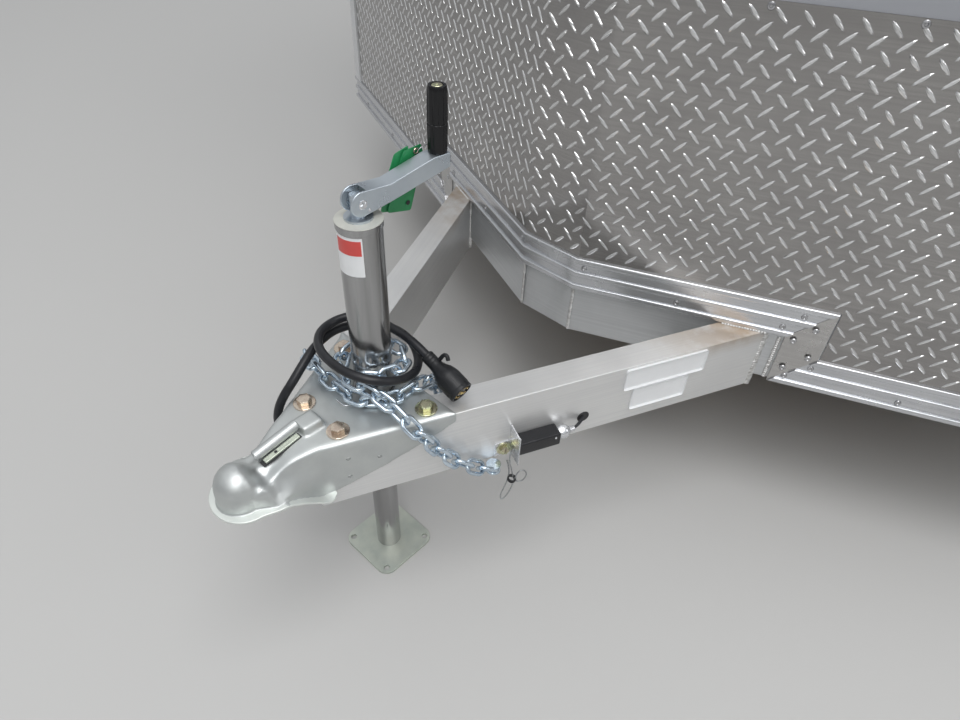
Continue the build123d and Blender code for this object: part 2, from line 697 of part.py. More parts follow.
CHAIN_HOLE = CHAIN_LINK - 2 * CHAIN_WIRE
CHAIN_HOLE_WIDTH = CHAIN_LINK_WIDTH - 2 * CHAIN_WIRE
with BuildPart() as link:
    with BuildSketch():
        with BuildLine():
            Polyline(*link_outline(CHAIN_LINK, CHAIN_LINK_WIDTH, CHAIN_WIRE), close=True)
        make_face()
        with BuildLine():
            Polyline(*link_outline(CHAIN_HOLE, CHAIN_HOLE_WIDTH, CHAIN_HOLE_WIDTH * 0.18), close=True)
        make_face(mode=Mode.SUBTRACT)
    extrude(amount=CHAIN_WIRE / 2, both=True)
    chamfer(link.edges().filter_by(Axis.Z, reverse=True), CHAIN_WIRE * 0.26)

ring_route = [
    (-RING_RADIUS * sin(radians(turn)), BALL_TO_JACK - RING_RADIUS * cos(radians(turn)), RING_HEIGHT)
    for turn in range(0, RING_TURN, RING_STEP)
]
chains = (("left", CHAIN_LEFT_ROUTE + ring_route), ("right", CHAIN_RIGHT_ROUTE))
for side, route in chains:
    joints = chain_joints([(x, BALL_Y + y, z) for x, y, z in route])
    with BuildPart() as safety_chain:
        with Locations(*link_planes(joints)):
            add(link.part)
    print("links", side, len(joints) - 1)
    safety_chain.part.label = f"safety_chain_{side}"
    export_step(safety_chain.part, f"parts/safety_chain_{side}.step")

# Trailer cord: out of the underside of the right tongue rail, up beside the coupler,
# twice behind the jack and once round in front of it, then down to the plug
CORD_ROUTE = [
    (-112, 304, RAIL_BOTTOM - GROMMET),
    (-112, 304, 266),
    (-115, 284, 245),
    (-119, 240, 236),
    (-116, 200, 240),
    (-108, 162, 258),
    (-97, 134, 290),
    (-87, 119, 330),
    (-80, 114, 368),
    (-79, 117, 396),
    (-74, 128, 422),
    (-70, 147, 444),
    (-76, 172, 459),
    (-86, 198, 467),
    (-97, 226, 466),
    (-104, 252, 463),
    (-102, 278, 460),
    (-88, 302, 460),
    (-65, 320, 459),
    (-38, 330, 458),
    (-10, 330, 456),
    (18, 319, 454),
    (43, 300, 456),
    (62, 272, 464),
    (67, 240, 476),
    (60, 211, 488),
    (38, 192, 494),
    (8, 183, 495),
    (-24, 184, 494),
    (-54, 191, 490),
    (-80, 206, 486),
    (-98, 226, 482),
    (-104, 250, 481),
    (-98, 274, 483),
    (-80, 292, 485),
    (-53, 302, 487),
    (-20, 304, 487),
]
PLUG_START = Vector(52, BALL_Y + 308, 473)
PLUG_END = Vector(126, BALL_Y + 319, 438)
PLUG_RUN = 32              # last run of the cord, in line with the plug
cord_points = [Vector(x, BALL_Y + y, z) for x, y, z in CORD_ROUTE]
plug_axis = (PLUG_END - PLUG_START).normalized()
cord_points += [PLUG_START - plug_axis * PLUG_RUN, PLUG_START]
cord_radii = []
for before, here, after in zip(cord_points, cord_points[1:], cord_points[2:]):
    turn = radians((here - before).get_angle(after - here))
    shorter = min((here - before).length, (after - here).length)
    cord_radii.append(0.45 * shorter / tan(turn / 2))
with BuildPart() as trailer_cord:
    with BuildLine() as cord_line:
        FilletPolyline(*cord_points, radius=cord_radii)
    with BuildSketch(Plane(origin=cord_points[0], z_dir=cord_points[1] - cord_points[0])):
        Circle(CORD_DIAMETER / 2)
    sweep()
print("cord length", round(sum(edge.length for edge in cord_line.edges())))
trailer_cord.part.label = "trailer_cord"
export_step(trailer_cord.part, "parts/trailer_cord.step")

with BuildPart() as cord_grommet:
    with Locations((CORD_ROUTE[0][0], BALL_Y + CORD_ROUTE[0][1], RAIL_BOTTOM)):
        Cylinder(CORD_DIAMETER, GROMMET, align=(Align.CENTER, Align.CENTER, Align.MAX))
cord_grommet.part.label = "cord_grommet"
export_step(cord_grommet.part, "parts/cord_grommet.step")

# Plug: a sleeve and a wider head with a recessed face, on one axis
with BuildPart() as trailer_plug:
    with BuildSketch(Plane(origin=PLUG_START, z_dir=plug_axis)):
        Circle(PLUG_SLEEVE / 2)
    extrude(amount=PLUG_SLEEVE_LENGTH)
    with BuildSketch(Plane(origin=PLUG_START + plug_axis * PLUG_SLEEVE_LENGTH, z_dir=plug_axis)):
        Circle(PLUG_HEAD / 2)
    extrude(amount=PLUG_HEAD_LENGTH)
    plug_face = Plane(
        origin=PLUG_START + plug_axis * (PLUG_SLEEVE_LENGTH + PLUG_HEAD_LENGTH), z_dir=plug_axis
    )
    with BuildSketch(plug_face):
        Circle(PLUG_HEAD / 2 - PLUG_RIM)
        Circle(PLUG_CORE / 2, mode=Mode.SUBTRACT)
    extrude(amount=-PLUG_FACE_DEEP, mode=Mode.SUBTRACT)
trailer_plug.part.label = "trailer_plug"
export_step(trailer_plug.part, "parts/trailer_plug.step")

# Breakaway switch: a case on a bent bracket, bolted to the left rail's outer face
rail_start = Vector(RAIL_WIDTH / 2 * cos(TONGUE), APEX_Y - RAIL_WIDTH / 2 * sin(TONGUE), 0)
rail_along = Vector(sin(TONGUE), cos(TONGUE), 0)
SWITCH_FACE = Plane(origin=rail_start, x_dir=rail_along, z_dir=(cos(TONGUE), -sin(TONGUE), 0))
with BuildPart() as breakaway_switch:
    with BuildSketch(SWITCH_FACE):
        with Locations((SWITCH_ALONG + SWITCH_LENGTH / 2, SWITCH_MIDDLE)):
            RectangleRounded(SWITCH_LENGTH, SWITCH_HEIGHT, 3)
    extrude(amount=SWITCH_DEPTH)
    with BuildSketch(SWITCH_FACE):
        with Locations((SWITCH_ALONG - SWITCH_PLATE_THICK / 2, SWITCH_MIDDLE + SWITCH_PLATE_RISE)):
            Rectangle(SWITCH_PLATE_THICK, SWITCH_PLATE)
    extrude(amount=SWITCH_DEPTH + 4)
    with BuildSketch(SWITCH_FACE):
        with Locations((SWITCH_ALONG - SWITCH_LUG[0] / 2, SWITCH_MIDDLE - 12)):
            Rectangle(*SWITCH_LUG)
    extrude(amount=SWITCH_PLATE_THICK)
breakaway_switch.part.label = "breakaway_switch"
export_step(breakaway_switch.part, "parts/breakaway_switch.step")

# Lanyard: looped wire that hangs below the switch
LANYARD_MIDDLE = SWITCH_MIDDLE + SWITCH_PLATE_RISE - (SWITCH_PLATE + LANYARD_DROP) / 2
with BuildPart() as breakaway_lanyard:
    with BuildSketch(SWITCH_FACE.offset(SWITCH_DEPTH / 2)):
        with Locations((SWITCH_ALONG - 6, LANYARD_MIDDLE)):
            SlotOverall(LANYARD_DROP, LANYARD_LOOP, rotation=80)
            SlotOverall(
                LANYARD_DROP - 2 * LANYARD_WIRE,
                LANYARD_LOOP - 2 * LANYARD_WIRE,
                rotation=80,
                mode=Mode.SUBTRACT,
            )
    extrude(amount=LANYARD_WIRE)
breakaway_lanyard.part.label = "breakaway_lanyard"
export_step(breakaway_lanyard.part, "parts/breakaway_lanyard.step")

# Frame: a nose piece between the bends, two raked legs and the perimeter tubes
CORNER_Y = corner(SKIN_IN)[1]


# Plan of a bent nose piece, from its outer face to its inner face, squared off behind
def nose_plan(outer, inner):
    half = [(rake_x(CORNER_Y, inner), CORNER_Y), corner(outer), bend(outer)]
    inner_bend = bend(inner)
    return [*half, *mirrored(half), (-inner_bend[0], inner_bend[1]), inner_bend]


with BuildPart() as frame_nose:
    with BuildSketch(Plane.XY.offset(FRAME_BOTTOM)):
        with BuildLine():
            Polyline(*nose_plan(SKIN_IN, FRAME_IN), close=True)
        make_face()
    extrude(amount=FRAME_HEIGHT)
frame_nose.part.label = "frame_nose"
export_step(frame_nose.part, "parts/frame_nose.step")

AXLES_Y = CORNER_Y + AXLE_BACK
ARCH_HALF = WHEEL_SPREAD / 2 + TYRE_RADIUS + ARCH_GAP
ARCH_FRONT = AXLES_Y - ARCH_HALF
ARCH_REAR = AXLES_Y + ARCH_HALF
SILL_Y = REAR_Y - REAR_DEPTH
with BuildPart() as frame_sides:
    for turn in (1, -1):
        for start, end in ((CORNER_Y, ARCH_FRONT), (ARCH_REAR, SILL_Y - FRAME_TUBE)):
            with BuildSketch(Plane.XY.offset(FRAME_BOTTOM)):
                with Locations((turn * (HALF_WIDTH - SKIN_IN - FRAME_TUBE / 2), (start + end) / 2)):
                    Rectangle(FRAME_TUBE, end - start)
            extrude(amount=FRAME_HEIGHT)
frame_sides.part.label = "frame_sides"
export_step(frame_sides.part, "parts/frame_sides.step")

# Main rails, just inside the wheels, from the nose leg to the rear sill
WELL_IN = HALF_WIDTH - SKIN_IN - TYRE_INSET - TYRE_WIDTH - WELL_CLEAR
MAIN_RAIL_OUT = WELL_IN - MAIN_RAIL_UNDER
MAIN_IN = MAIN_RAIL_OUT - MAIN_RAIL_WIDTH / 2
MAIN_OUT = MAIN_RAIL_OUT + MAIN_RAIL_WIDTH / 2
with BuildPart() as frame_main_rails:
    for turn in (1, -1):
        with BuildSketch(Plane.XY.offset(FRAME_BOTTOM)):
            with BuildLine():
                Polyline(
                    (turn * MAIN_IN, rake_y(MAIN_IN, FRAME_IN)),
                    (turn * MAIN_OUT, rake_y(MAIN_OUT, FRAME_IN)),
                    (turn * MAIN_OUT, SILL_Y - FRAME_TUBE),
                    (turn * MAIN_IN, SILL_Y - FRAME_TUBE),
                    close=True,
                )
            make_face()
        extrude(amount=FRAME_HEIGHT)
frame_main_rails.part.label = "frame_main_rails"
export_step(frame_main_rails.part, "parts/frame_main_rails.step")

# Cross members between the main rails, and outriggers from them to the perimeter
CROSS_START = CORNER_Y + CROSS_FIRST
CROSS_COUNT = int((SILL_Y - FRAME_TUBE - CROSS_WIDTH - CROSS_START) // CROSS_PITCH) + 1
with BuildPart() as frame_cross_members:
    for number in range(CROSS_COUNT):
        y = CROSS_START + number * CROSS_PITCH
        with Locations((0, y, FRAME_TOP)):
            Box(2 * MAIN_IN, CROSS_WIDTH, CROSS_HEIGHT, align=(Align.CENTER, Align.CENTER, Align.MAX))
    for y in (CROSS_START, CROSS_START + CROSS_PITCH, SILL_Y - FRAME_TUBE - CROSS_PITCH / 2):
        for turn in (1, -1):
            with Locations((turn * (MAIN_OUT + HALF_WIDTH - FRAME_IN) / 2, y, FRAME_TOP)):
                Box(
                    HALF_WIDTH - FRAME_IN - MAIN_OUT,
                    CROSS_WIDTH,
                    CROSS_HEIGHT,
                    align=(Align.CENTER, Align.CENTER, Align.MAX),
                )
frame_cross_members.part.label = "frame_cross_members"
export_step(frame_cross_members.part, "parts/frame_cross_members.step")

# Deck: one floor inside the walls, notched for the wheel boxes
WELL_TOP = ARCH_TOP + WELL_RISE
with BuildPart() as floor_deck:
    with BuildSketch(Plane.XY.offset(FRAME_TOP)):
        with BuildLine():
            Polyline(
                bend(LINING_IN),
                corner(LINING_IN),
                (HALF_WIDTH - LINING_IN, SILL_Y),
                (LINING_IN - HALF_WIDTH, SILL_Y),
                (-corner(LINING_IN)[0], corner(LINING_IN)[1]),
                (-bend(LINING_IN)[0], bend(LINING_IN)[1]),
                close=True,
            )
        make_face()
        with Locations(*[(turn * (HALF_WIDTH + WELL_IN - WELL_STEEL) / 2, AXLES_Y) for turn in (1, -1)]):
            Rectangle(HALF_WIDTH - WELL_IN + WELL_STEEL, 2 * ARCH_HALF + 2 * WELL_STEEL, mode=Mode.SUBTRACT)
    extrude(amount=DECK)
floor_deck.part.label = "floor_deck"
export_step(floor_deck.part, "parts/floor_deck.step")

# Nose wall: three flat panels that meet at the bends, as thick as the wall
with BuildPart() as nose_wall:
    with BuildSketch(Plane.XY.offset(FRAME_TOP)):
        with BuildLine():
            Polyline(*nose_plan(SKIN_IN, LINING_IN), close=True)
        make_face()
    extrude(amount=WALL_TOP - FRAME_TOP)
nose_wall.part.label = "nose_wall"
export_step(nose_wall.part, "parts/nose_wall.step")

# The wheel opening's edge, from its front foot to its rear foot, or a line beside it
def arch_line(outside):
    drop = ARCH_CUT - outside * tan(radians(45) / 2)
    return [
        (ARCH_FRONT - outside, ARCH_TOP + outside - drop - outside),
        (ARCH_FRONT + drop, ARCH_TOP + outside),
        (ARCH_REAR - drop, ARCH_TOP + outside),
        (ARCH_REAR + outside, ARCH_TOP + outside - drop - outside),
    ]


# Side walls, cut for the wheels and, on the right, for the side door
DOOR_FRONT = CORNER_Y + SIDE_DOOR_BACK
DOOR_TOP = SIDE_DOOR_SILL + SIDE_DOOR_HEIGHT
for side, turn in (("left", 1), ("right", -1)):
    with BuildPart() as side_wall:
        with BuildSketch(Plane.YZ.offset(turn * (HALF_WIDTH - LINING_IN))):
            with BuildLine():
                Polyline(
                    (CORNER_Y, FRAME_TOP),
                    (ARCH_FRONT, FRAME_TOP),
                    *arch_line(0),
                    (ARCH_REAR, FRAME_TOP),
                    (SILL_Y, FRAME_TOP),
                    (SILL_Y, WALL_TOP),
                    (CORNER_Y, WALL_TOP),
                    close=True,
                )
            make_face()
            if side == "right":
                with Locations((DOOR_FRONT + SIDE_DOOR_WIDTH / 2, SIDE_DOOR_SILL + SIDE_DOOR_HEIGHT / 2)):
                    Rectangle(
                        SIDE_DOOR_WIDTH + 2 * DOOR_GAP, SIDE_DOOR_HEIGHT + 2 * DOOR_GAP, mode=Mode.SUBTRACT
                    )
        extrude(amount=turn * WALL)
    side_wall.part.label = f"side_wall_{side}"
    export_step(side_wall.part, f"parts/side_wall_{side}.step")

# Wheel boxes: bent sheet over each pair of wheels, open below and to the outside
for side, turn in (("left", 1), ("right", -1)):
    with BuildPart() as wheel_box:
        with BuildSketch(Plane.YZ.offset(turn * (WELL_IN - WELL_STEEL))):
            with BuildLine():
                Polyline(
                    (ARCH_FRONT - WELL_STEEL, FRAME_TOP),
                    (ARCH_FRONT - WELL_STEEL, WELL_TOP + WELL_STEEL),
                    (ARCH_REAR + WELL_STEEL, WELL_TOP + WELL_STEEL),
                    (ARCH_REAR + WELL_STEEL, FRAME_TOP),
                    close=True,
                )
            make_face()
        extrude(amount=turn * (HALF_WIDTH - LINING_IN - WELL_IN + WELL_STEEL))
        with BuildSketch(Plane.YZ.offset(turn * WELL_IN)):
            with Locations((AXLES_Y, (FRAME_TOP - 1 + WELL_TOP) / 2)):
                Rectangle(2 * ARCH_HALF, WELL_TOP - FRAME_TOP + 1)
        extrude(amount=turn * (HALF_WIDTH - LINING_IN - WELL_IN + 1), mode=Mode.SUBTRACT)
    wheel_box.part.label = f"wheel_box_{side}"
    export_step(wheel_box.part, f"parts/wheel_box_{side}.step")

# Arch trims: a band round each wheel opening
with BuildPart() as arch_trims:
    with BuildSketch(Plane.YZ.offset(HALF_WIDTH - SKIN_IN)):
        with BuildLine():
            Polyline(
                (ARCH_FRONT, LOW_TRIM_BOTTOM),
                *arch_line(0),
                (ARCH_REAR, LOW_TRIM_BOTTOM),
                (ARCH_REAR + ARCH_BAND, LOW_TRIM_BOTTOM),
                *reversed(arch_line(ARCH_BAND)),
                (ARCH_FRONT - ARCH_BAND, LOW_TRIM_BOTTOM),
                close=True,
            )
        make_face()
    extrude(amount=TRIM_DEPTH)
    mirror(about=Plane.YZ)
arch_trims.part.label = "arch_trims"
export_step(arch_trims.part, "parts/arch_trims.step")

# Rub rail profile: a thin web with three rounded ridges
RIDGE = 11.0
RIDGE_ROUND = 3.0
WEB = 3.5
RIDGE_FOOTS = (0.0, (TRIM_HEIGHT - RIDGE) / 2, TRIM_HEIGHT - RIDGE)
RAKE_FACE = Plane(
    origin=(*bend(0), 0), x_dir=(cos(RAKE), sin(RAKE), 0), z_dir=(sin(RAKE), -cos(RAKE), 0)
)
PLATE_OUTER = PLATE_INNER + TRIM_HEIGHT


def rub_rail(path_points, bottom):
    start = Vector(*path_points[0], bottom)
    along = (Vector(*path_points[1], bottom) - start).normalized()
    with BuildPart() as rail:
        with BuildLine() as path:
            Polyline(*[(x, y, bottom) for x, y in path_points])
        with BuildSketch(Plane(origin=start, x_dir=Vector(0, 0, 1).cross(along), z_dir=along)):
            with Locations((TRIM_DEPTH - WEB / 2, TRIM_HEIGHT / 2)):
                Rectangle(WEB, TRIM_HEIGHT)
            for foot in RIDGE_FOOTS:
                with Locations((TRIM_DEPTH / 2, foot + RIDGE / 2)):
                    RectangleRounded(TRIM_DEPTH, RIDGE, RIDGE_ROUND)
        sweep(path=path.line, transition=Transition.RIGHT)
    return rail.part


# Upper rub rail: round the front of the nose, mitred into the corner plates
def along_rake(along, turn):
    x, y = rake_point(along, 0)
    return (turn * x, y)


upper_path = [
    along_rake(PLATE_OUTER, -1),
    (-bend(0)[0], bend(0)[1]),
    bend(0),
    along_rake(PLATE_OUTER, 1),
]
with BuildPart() as mitre_high:
    with BuildSketch(RAKE_FACE.offset(1)):
        with BuildLine():
            Polyline(
                (PLATE_INNER - 1, HIGH_TRIM_BOTTOM - 1),
                (PLATE_OUTER + 1, HIGH_TRIM_TOP + 1),
                (PLATE_OUTER + 1, HIGH_TRIM_BOTTOM - 1),
                close=True,
            )
        make_face()
    extrude(amount=-TRIM_DEPTH - 2)
    mirror(about=Plane.YZ)
with BuildPart() as rub_rail_upper:
    add(rub_rail(upper_path, HIGH_TRIM_BOTTOM))
    add(mitre_high.part, mode=Mode.SUBTRACT)
rub_rail_upper.part.label = "rub_rail_upper"
export_step(rub_rail_upper.part, "parts/rub_rail_upper.step")

# Lower rub rails: from the corner plates round the front corners, and behind the wheels
with BuildPart() as mitre_low:
    with BuildSketch(RAKE_FACE.offset(1)):
        with BuildLine():
            Polyline(
                (PLATE_INNER - 2, LOW_TRIM_BOTTOM - 2),
                (PLATE_OUTER + 1, LOW_TRIM_TOP + 1),
                (PLATE_INNER - 2, LOW_TRIM_TOP + 1),
                close=True,
            )
        make_face()
    extrude(amount=-TRIM_DEPTH - 2)
front_path = [rake_point(PLATE_INNER, 0), corner(0), (HALF_WIDTH, ARCH_FRONT - ARCH_BAND)]
rear_path = [(HALF_WIDTH, ARCH_REAR + ARCH_BAND), (HALF_WIDTH, SILL_Y)]
with BuildPart() as rub_rails_lower:
    add(rub_rail(front_path, LOW_TRIM_BOTTOM))
    add(mitre_low.part, mode=Mode.SUBTRACT)
    add(rub_rail(rear_path, LOW_TRIM_BOTTOM))
    mirror(about=Plane.YZ)
rub_rails_lower.part.label = "rub_rails_lower"
export_step(rub_rails_lower.part, "parts/rub_rails_lower.step")

# Corner plates: flat mitred pieces where the rub rail steps down beside each tongue rail
with BuildPart() as rail_corner_plates:
    with BuildSketch(RAKE_FACE.offset(-WEB)):
        with BuildLine():
            Polyline(
                (PLATE_INNER, LOW_TRIM_BOTTOM),
                (PLATE_OUTER, LOW_TRIM_TOP),
                (PLATE_OUTER, HIGH_TRIM_TOP),
                (PLATE_INNER, HIGH_TRIM_BOTTOM),
                close=True,
            )
        make_face()
    extrude(amount=WEB - TRIM_DEPTH)
    mirror(about=Plane.YZ)
rail_corner_plates.part.label = "rail_corner_plates"
export_step(rail_corner_plates.part, "parts/rail_corner_plates.step")

# Stone guard: one tread plate bent round the nose, stepped up over the rub rail
CORNER_ALONG = (corner(0)[0] - bend(0)[0]) / cos(RAKE)
GUARD_END = CORNER_ALONG - CORNER_LEG
guard_in = TRIM_DEPTH - GUARD_THICK
guard_half = [rake_point(GUARD_END, SKIN_IN), rake_point(GUARD_END, guard_in), bend(guard_in)]
guard_back = [(-bend(SKIN_IN)[0], bend(SKIN_IN)[1]), bend(SKIN_IN)]
with BuildPart() as stone_guard:
    with BuildSketch(Plane.XY.offset(LOW_TRIM_TOP)):
        with BuildLine():
            Polyline(*guard_half, *mirrored(guard_half), *guard_back, close=True)
        make_face()
    extrude(amount=GUARD_TOP - LOW_TRIM_TOP)
    with Locations((0, NOSE_Y, LOW_TRIM_TOP - 1)):
        Box(
            2 * rake_point(PLATE_OUTER, 0)[0],
            4 * CORNER_BACK,
            HIGH_TRIM_TOP - LOW_TRIM_TOP + 1,
            align=(Align.CENTER, Align.CENTER, Align.MIN),
            mode=Mode.SUBTRACT,
        )
stone_guard.part.label = "stone_guard"
export_step(stone_guard.part, "parts/stone_guard.step")

# Front corner posts: angle extrusions with a rounded nose
post_plan = [
    rake_point(GUARD_END, 0),
    corner(0),
    (HALF_WIDTH, corner(0)[1] + CORNER_LEG),
    (HALF_WIDTH - SKIN_IN, corner(0)[1] + CORNER_LEG),
    corner(SKIN_IN),
    rake_point(GUARD_END, SKIN_IN),
]
with BuildPart() as front_posts:
    with BuildSketch(Plane.XY.offset(LOW_TRIM_TOP)):
        with BuildLine():
            Polyline(*post_plan, close=True)
        make_face()
    extrude(amount=WALL_TOP - BOX_TOP_TRIM - LOW_TRIM_TOP)
    fillet(front_posts.edges().filter_by(Axis.Z).group_by(Axis.X)[-1].sort_by(Axis.Y)[0], POST_RADIUS)
    mirror(about=Plane.YZ)
front_posts.part.label = "front_posts"
export_step(front_posts.part, "parts/front_posts.step")

# Top trim: one band along the head of the nose and side walls
band_half = [(HALF_WIDTH, SILL_Y), corner(0), bend(0)]
band_back = [(HALF_WIDTH - SKIN_IN, SILL_Y), corner(SKIN_IN), bend(SKIN_IN)]
with BuildPart() as top_trim:
    with BuildSketch(Plane.XY.offset(WALL_TOP - BOX_TOP_TRIM)):
        with BuildLine():
            Polyline(
                *band_half,
                *mirrored(band_half),
                *reversed(mirrored(band_back)),
                *reversed(band_back),
                close=True,
            )
        make_face()
    extrude(amount=BOX_TOP_TRIM)
top_trim.part.label = "top_trim"
export_step(top_trim.part, "parts/top_trim.step")

# Roof: one sheet over bows, with rolled edges
with BuildPart() as roof:
    with BuildSketch(Plane.XY.offset(WALL_TOP)):
        with BuildLine():
            Polyline(
                bend(0),
                corner(0),
                (HALF_WIDTH, REAR_Y),
                (-HALF_WIDTH, REAR_Y),
                (-corner(0)[0], corner(0)[1]),
                (-bend(0)[0], bend(0)[1]),
                close=True,
            )
        make_face()
    extrude(amount=ROOF)
    chamfer(roof.edges().group_by(Axis.Z)[-1], ROOF * 0.6)
roof.part.label = "roof"
export_step(roof.part, "parts/roof.step")

# Rear frame: two posts on the sill's ledge and a header
POST_IN = HALF_WIDTH - REAR_POST
with BuildPart() as rear_frame:
    with BuildSketch(Plane.XZ.offset(-REAR_Y)):
        with BuildLine():
            Polyline(
                (HALF_WIDTH, LEDGE_TOP),
                (HALF_WIDTH, WALL_TOP),
                (-HALF_WIDTH, WALL_TOP),
                (-HALF_WIDTH, LEDGE_TOP),
                (-POST_IN, LEDGE_TOP),
                (-POST_IN, RAMP_TOP + DOOR_GAP),
                (POST_IN, RAMP_TOP + DOOR_GAP),
                (POST_IN, LEDGE_TOP),
                close=True,
            )
        make_face()
    extrude(amount=REAR_DEPTH)
rear_frame.part.label = "rear_frame"
export_step(rear_frame.part, "parts/rear_frame.step")

# Ramp door: a panel in an edge frame, hinged along its foot
RAMP_HALF = POST_IN - DOOR_GAP
with BuildPart() as ramp_door:
    with BuildSketch(Plane.XZ.offset(-REAR_Y)):
        with Locations((0, (RAMP_BOTTOM + RAMP_TOP) / 2)):
            Rectangle(2 * RAMP_HALF, RAMP_HEIGHT)
    extrude(amount=RAMP_THICK)
    with BuildSketch(Plane.XZ.offset(-REAR_Y)):
        with Locations((0, (RAMP_BOTTOM + RAMP_TOP) / 2)):
            Rectangle(2 * (RAMP_HALF - RAMP_EDGE), RAMP_HEIGHT - 2 * RAMP_EDGE)
    extrude(amount=EDGE_STEP, mode=Mode.SUBTRACT)
ramp_door.part.label = "ramp_door"
export_step(ramp_door.part, "parts/ramp_door.step")

# Ramp hinge: knuckles on one axis behind the sill, in turn on the sill and on the door
HINGE_Y = REAR_Y + HINGE_RADIUS
HINGE_Z = (RAMP_BOTTOM + LEDGE_TOP) / 2
HINGE_HALF = RAMP_HALF - HINGE_END
knuckle_length = 2 * HINGE_HALF / HINGE_KNUCKLES


def hinge_places(first):
    return [-HINGE_HALF + (number + 0.5) * knuckle_length for number in range(first, HINGE_KNUCKLES, 2)]


# Rear sill: the last cross tube, with a ledge below the ramp door that carries its hinge
with BuildPart() as frame_rear_sill:
    with BuildSketch(Plane.YZ.offset(-HALF_WIDTH + SKIN_IN)):
        with BuildLine():
            Polyline(
                (SILL_Y - FRAME_TUBE, FRAME_BOTTOM),
                (REAR_Y, FRAME_BOTTOM),
                (REAR_Y, LEDGE_TOP),
                (SILL_Y, LEDGE_TOP),
                (SILL_Y, FRAME_TOP),
                (SILL_Y - FRAME_TUBE, FRAME_TOP),
                close=True,
            )
        make_face()
    extrude(amount=2 * (HALF_WIDTH - SKIN_IN))
    for x in hinge_places(0):
        with Locations((x, HINGE_Y, HINGE_Z)):
            Cylinder(HINGE_RADIUS, knuckle_length - 1, rotation=(0, 90, 0))
        with Locations((x, REAR_Y + HINGE_LEAF / 2, HINGE_Z - HINGE_LEAF_HEIGHT / 2)):
            Box(knuckle_length - 1, HINGE_LEAF, HINGE_LEAF_HEIGHT)
frame_rear_sill.part.label = "frame_rear_sill"
export_step(frame_rear_sill.part, "parts/frame_rear_sill.step")

with BuildPart() as ramp_hinge:
    for x in hinge_places(1):
        with Locations((x, HINGE_Y, HINGE_Z)):
            Cylinder(HINGE_RADIUS, knuckle_length - 1, rotation=(0, 90, 0))
        with Locations((x, REAR_Y + HINGE_LEAF / 2, HINGE_Z + HINGE_LEAF_HEIGHT / 2)):
            Box(knuckle_length - 1, HINGE_LEAF, HINGE_LEAF_HEIGHT)
ramp_hinge.part.label = "ramp_hinge"
export_step(ramp_hinge.part, "parts/ramp_hinge.step")

# Ramp locks: a rod on each side of the door with guides, a handle and a cam head,
# which stands between two cheeks on the header
LOCK_X = RAMP_HALF - LOCK_INSET
LOCK_Y = REAR_Y + ROD_CLEAR + LOCK_ROD / 2
LOCK_BOTTOM = RAMP_BOTTOM + RAMP_HEIGHT * LOCK_START
LOCK_GUIDES = (LOCK_BOTTOM + LOCK_END, (LOCK_BOTTOM + RAMP_TOP) / 2, RAMP_TOP - LOCK_END)
with BuildPart() as ramp_locks:
    for turn in (1, -1):
        with Locations((turn * LOCK_X, LOCK_Y, LOCK_BOTTOM)):
            Cylinder(
                LOCK_ROD / 2,
                RAMP_TOP + ROD_REACH - LOCK_BOTTOM,
                align=(Align.CENTER, Align.CENTER, Align.MIN),
            )
        for z in LOCK_GUIDES:
            with Locations((turn * LOCK_X, REAR_Y, z)):
                Box(
                    LOCK_GUIDE[0],
                    LOCK_ROD + 12,
                    LOCK_GUIDE[1],
                    align=(Align.CENTER, Align.MIN, Align.CENTER),
                )
        with Locations((turn * (LOCK_X - HANDLE_IN), LOCK_Y + LOCK_ROD / 2 + 3, LOCK_BOTTOM + HANDLE_RISE)):
            Box(RAMP_HANDLE, HANDLE_THICK + 4, HANDLE_WIDTH)
ramp_locks.part.label = "ramp_locks"
export_step(ramp_locks.part, "parts/ramp_locks.step")
with BuildPart() as lock_keepers:
    for turn in (1, -1):
        for side in (1, -1):
            cheek_x = turn * LOCK_X + side * ((LOCK_ROD + CHEEK) / 2 + ROD_CLEAR)
            with Locations((cheek_x, REAR_Y, RAMP_TOP + DOOR_GAP)):
                Box(CHEEK, LOCK_ROD + 14, CHEEK_HEIGHT, align=(Align.CENTER, Align.MIN, Align.MIN))
lock_keepers.part.label = "lock_keepers"
export_step(lock_keepers.part, "parts/lock_keepers.step")

# Side door on the right, hinged at its front edge
with BuildPart() as side_door:
    with BuildSketch(Plane.YZ.offset(SKIN_IN - HALF_WIDTH)):
        with Locations((DOOR_FRONT + SIDE_DOOR_WIDTH / 2, SIDE_DOOR_SILL + SIDE_DOOR_HEIGHT / 2)):
            Rectangle(SIDE_DOOR_WIDTH, SIDE_DOOR_HEIGHT)
    extrude(amount=WALL)
    with BuildSketch(Plane.YZ.offset(SKIN_IN - HALF_WIDTH)):
        with Locations((DOOR_FRONT + SIDE_DOOR_WIDTH / 2, SIDE_DOOR_SILL + SIDE_DOOR_HEIGHT / 2)):
            Rectangle(SIDE_DOOR_WIDTH - 2 * SIDE_DOOR_EDGE, SIDE_DOOR_HEIGHT - 2 * SIDE_DOOR_EDGE)
    extrude(amount=EDGE_STEP, mode=Mode.SUBTRACT)
side_door.part.label = "side_door"
export_step(side_door.part, "parts/side_door.step")

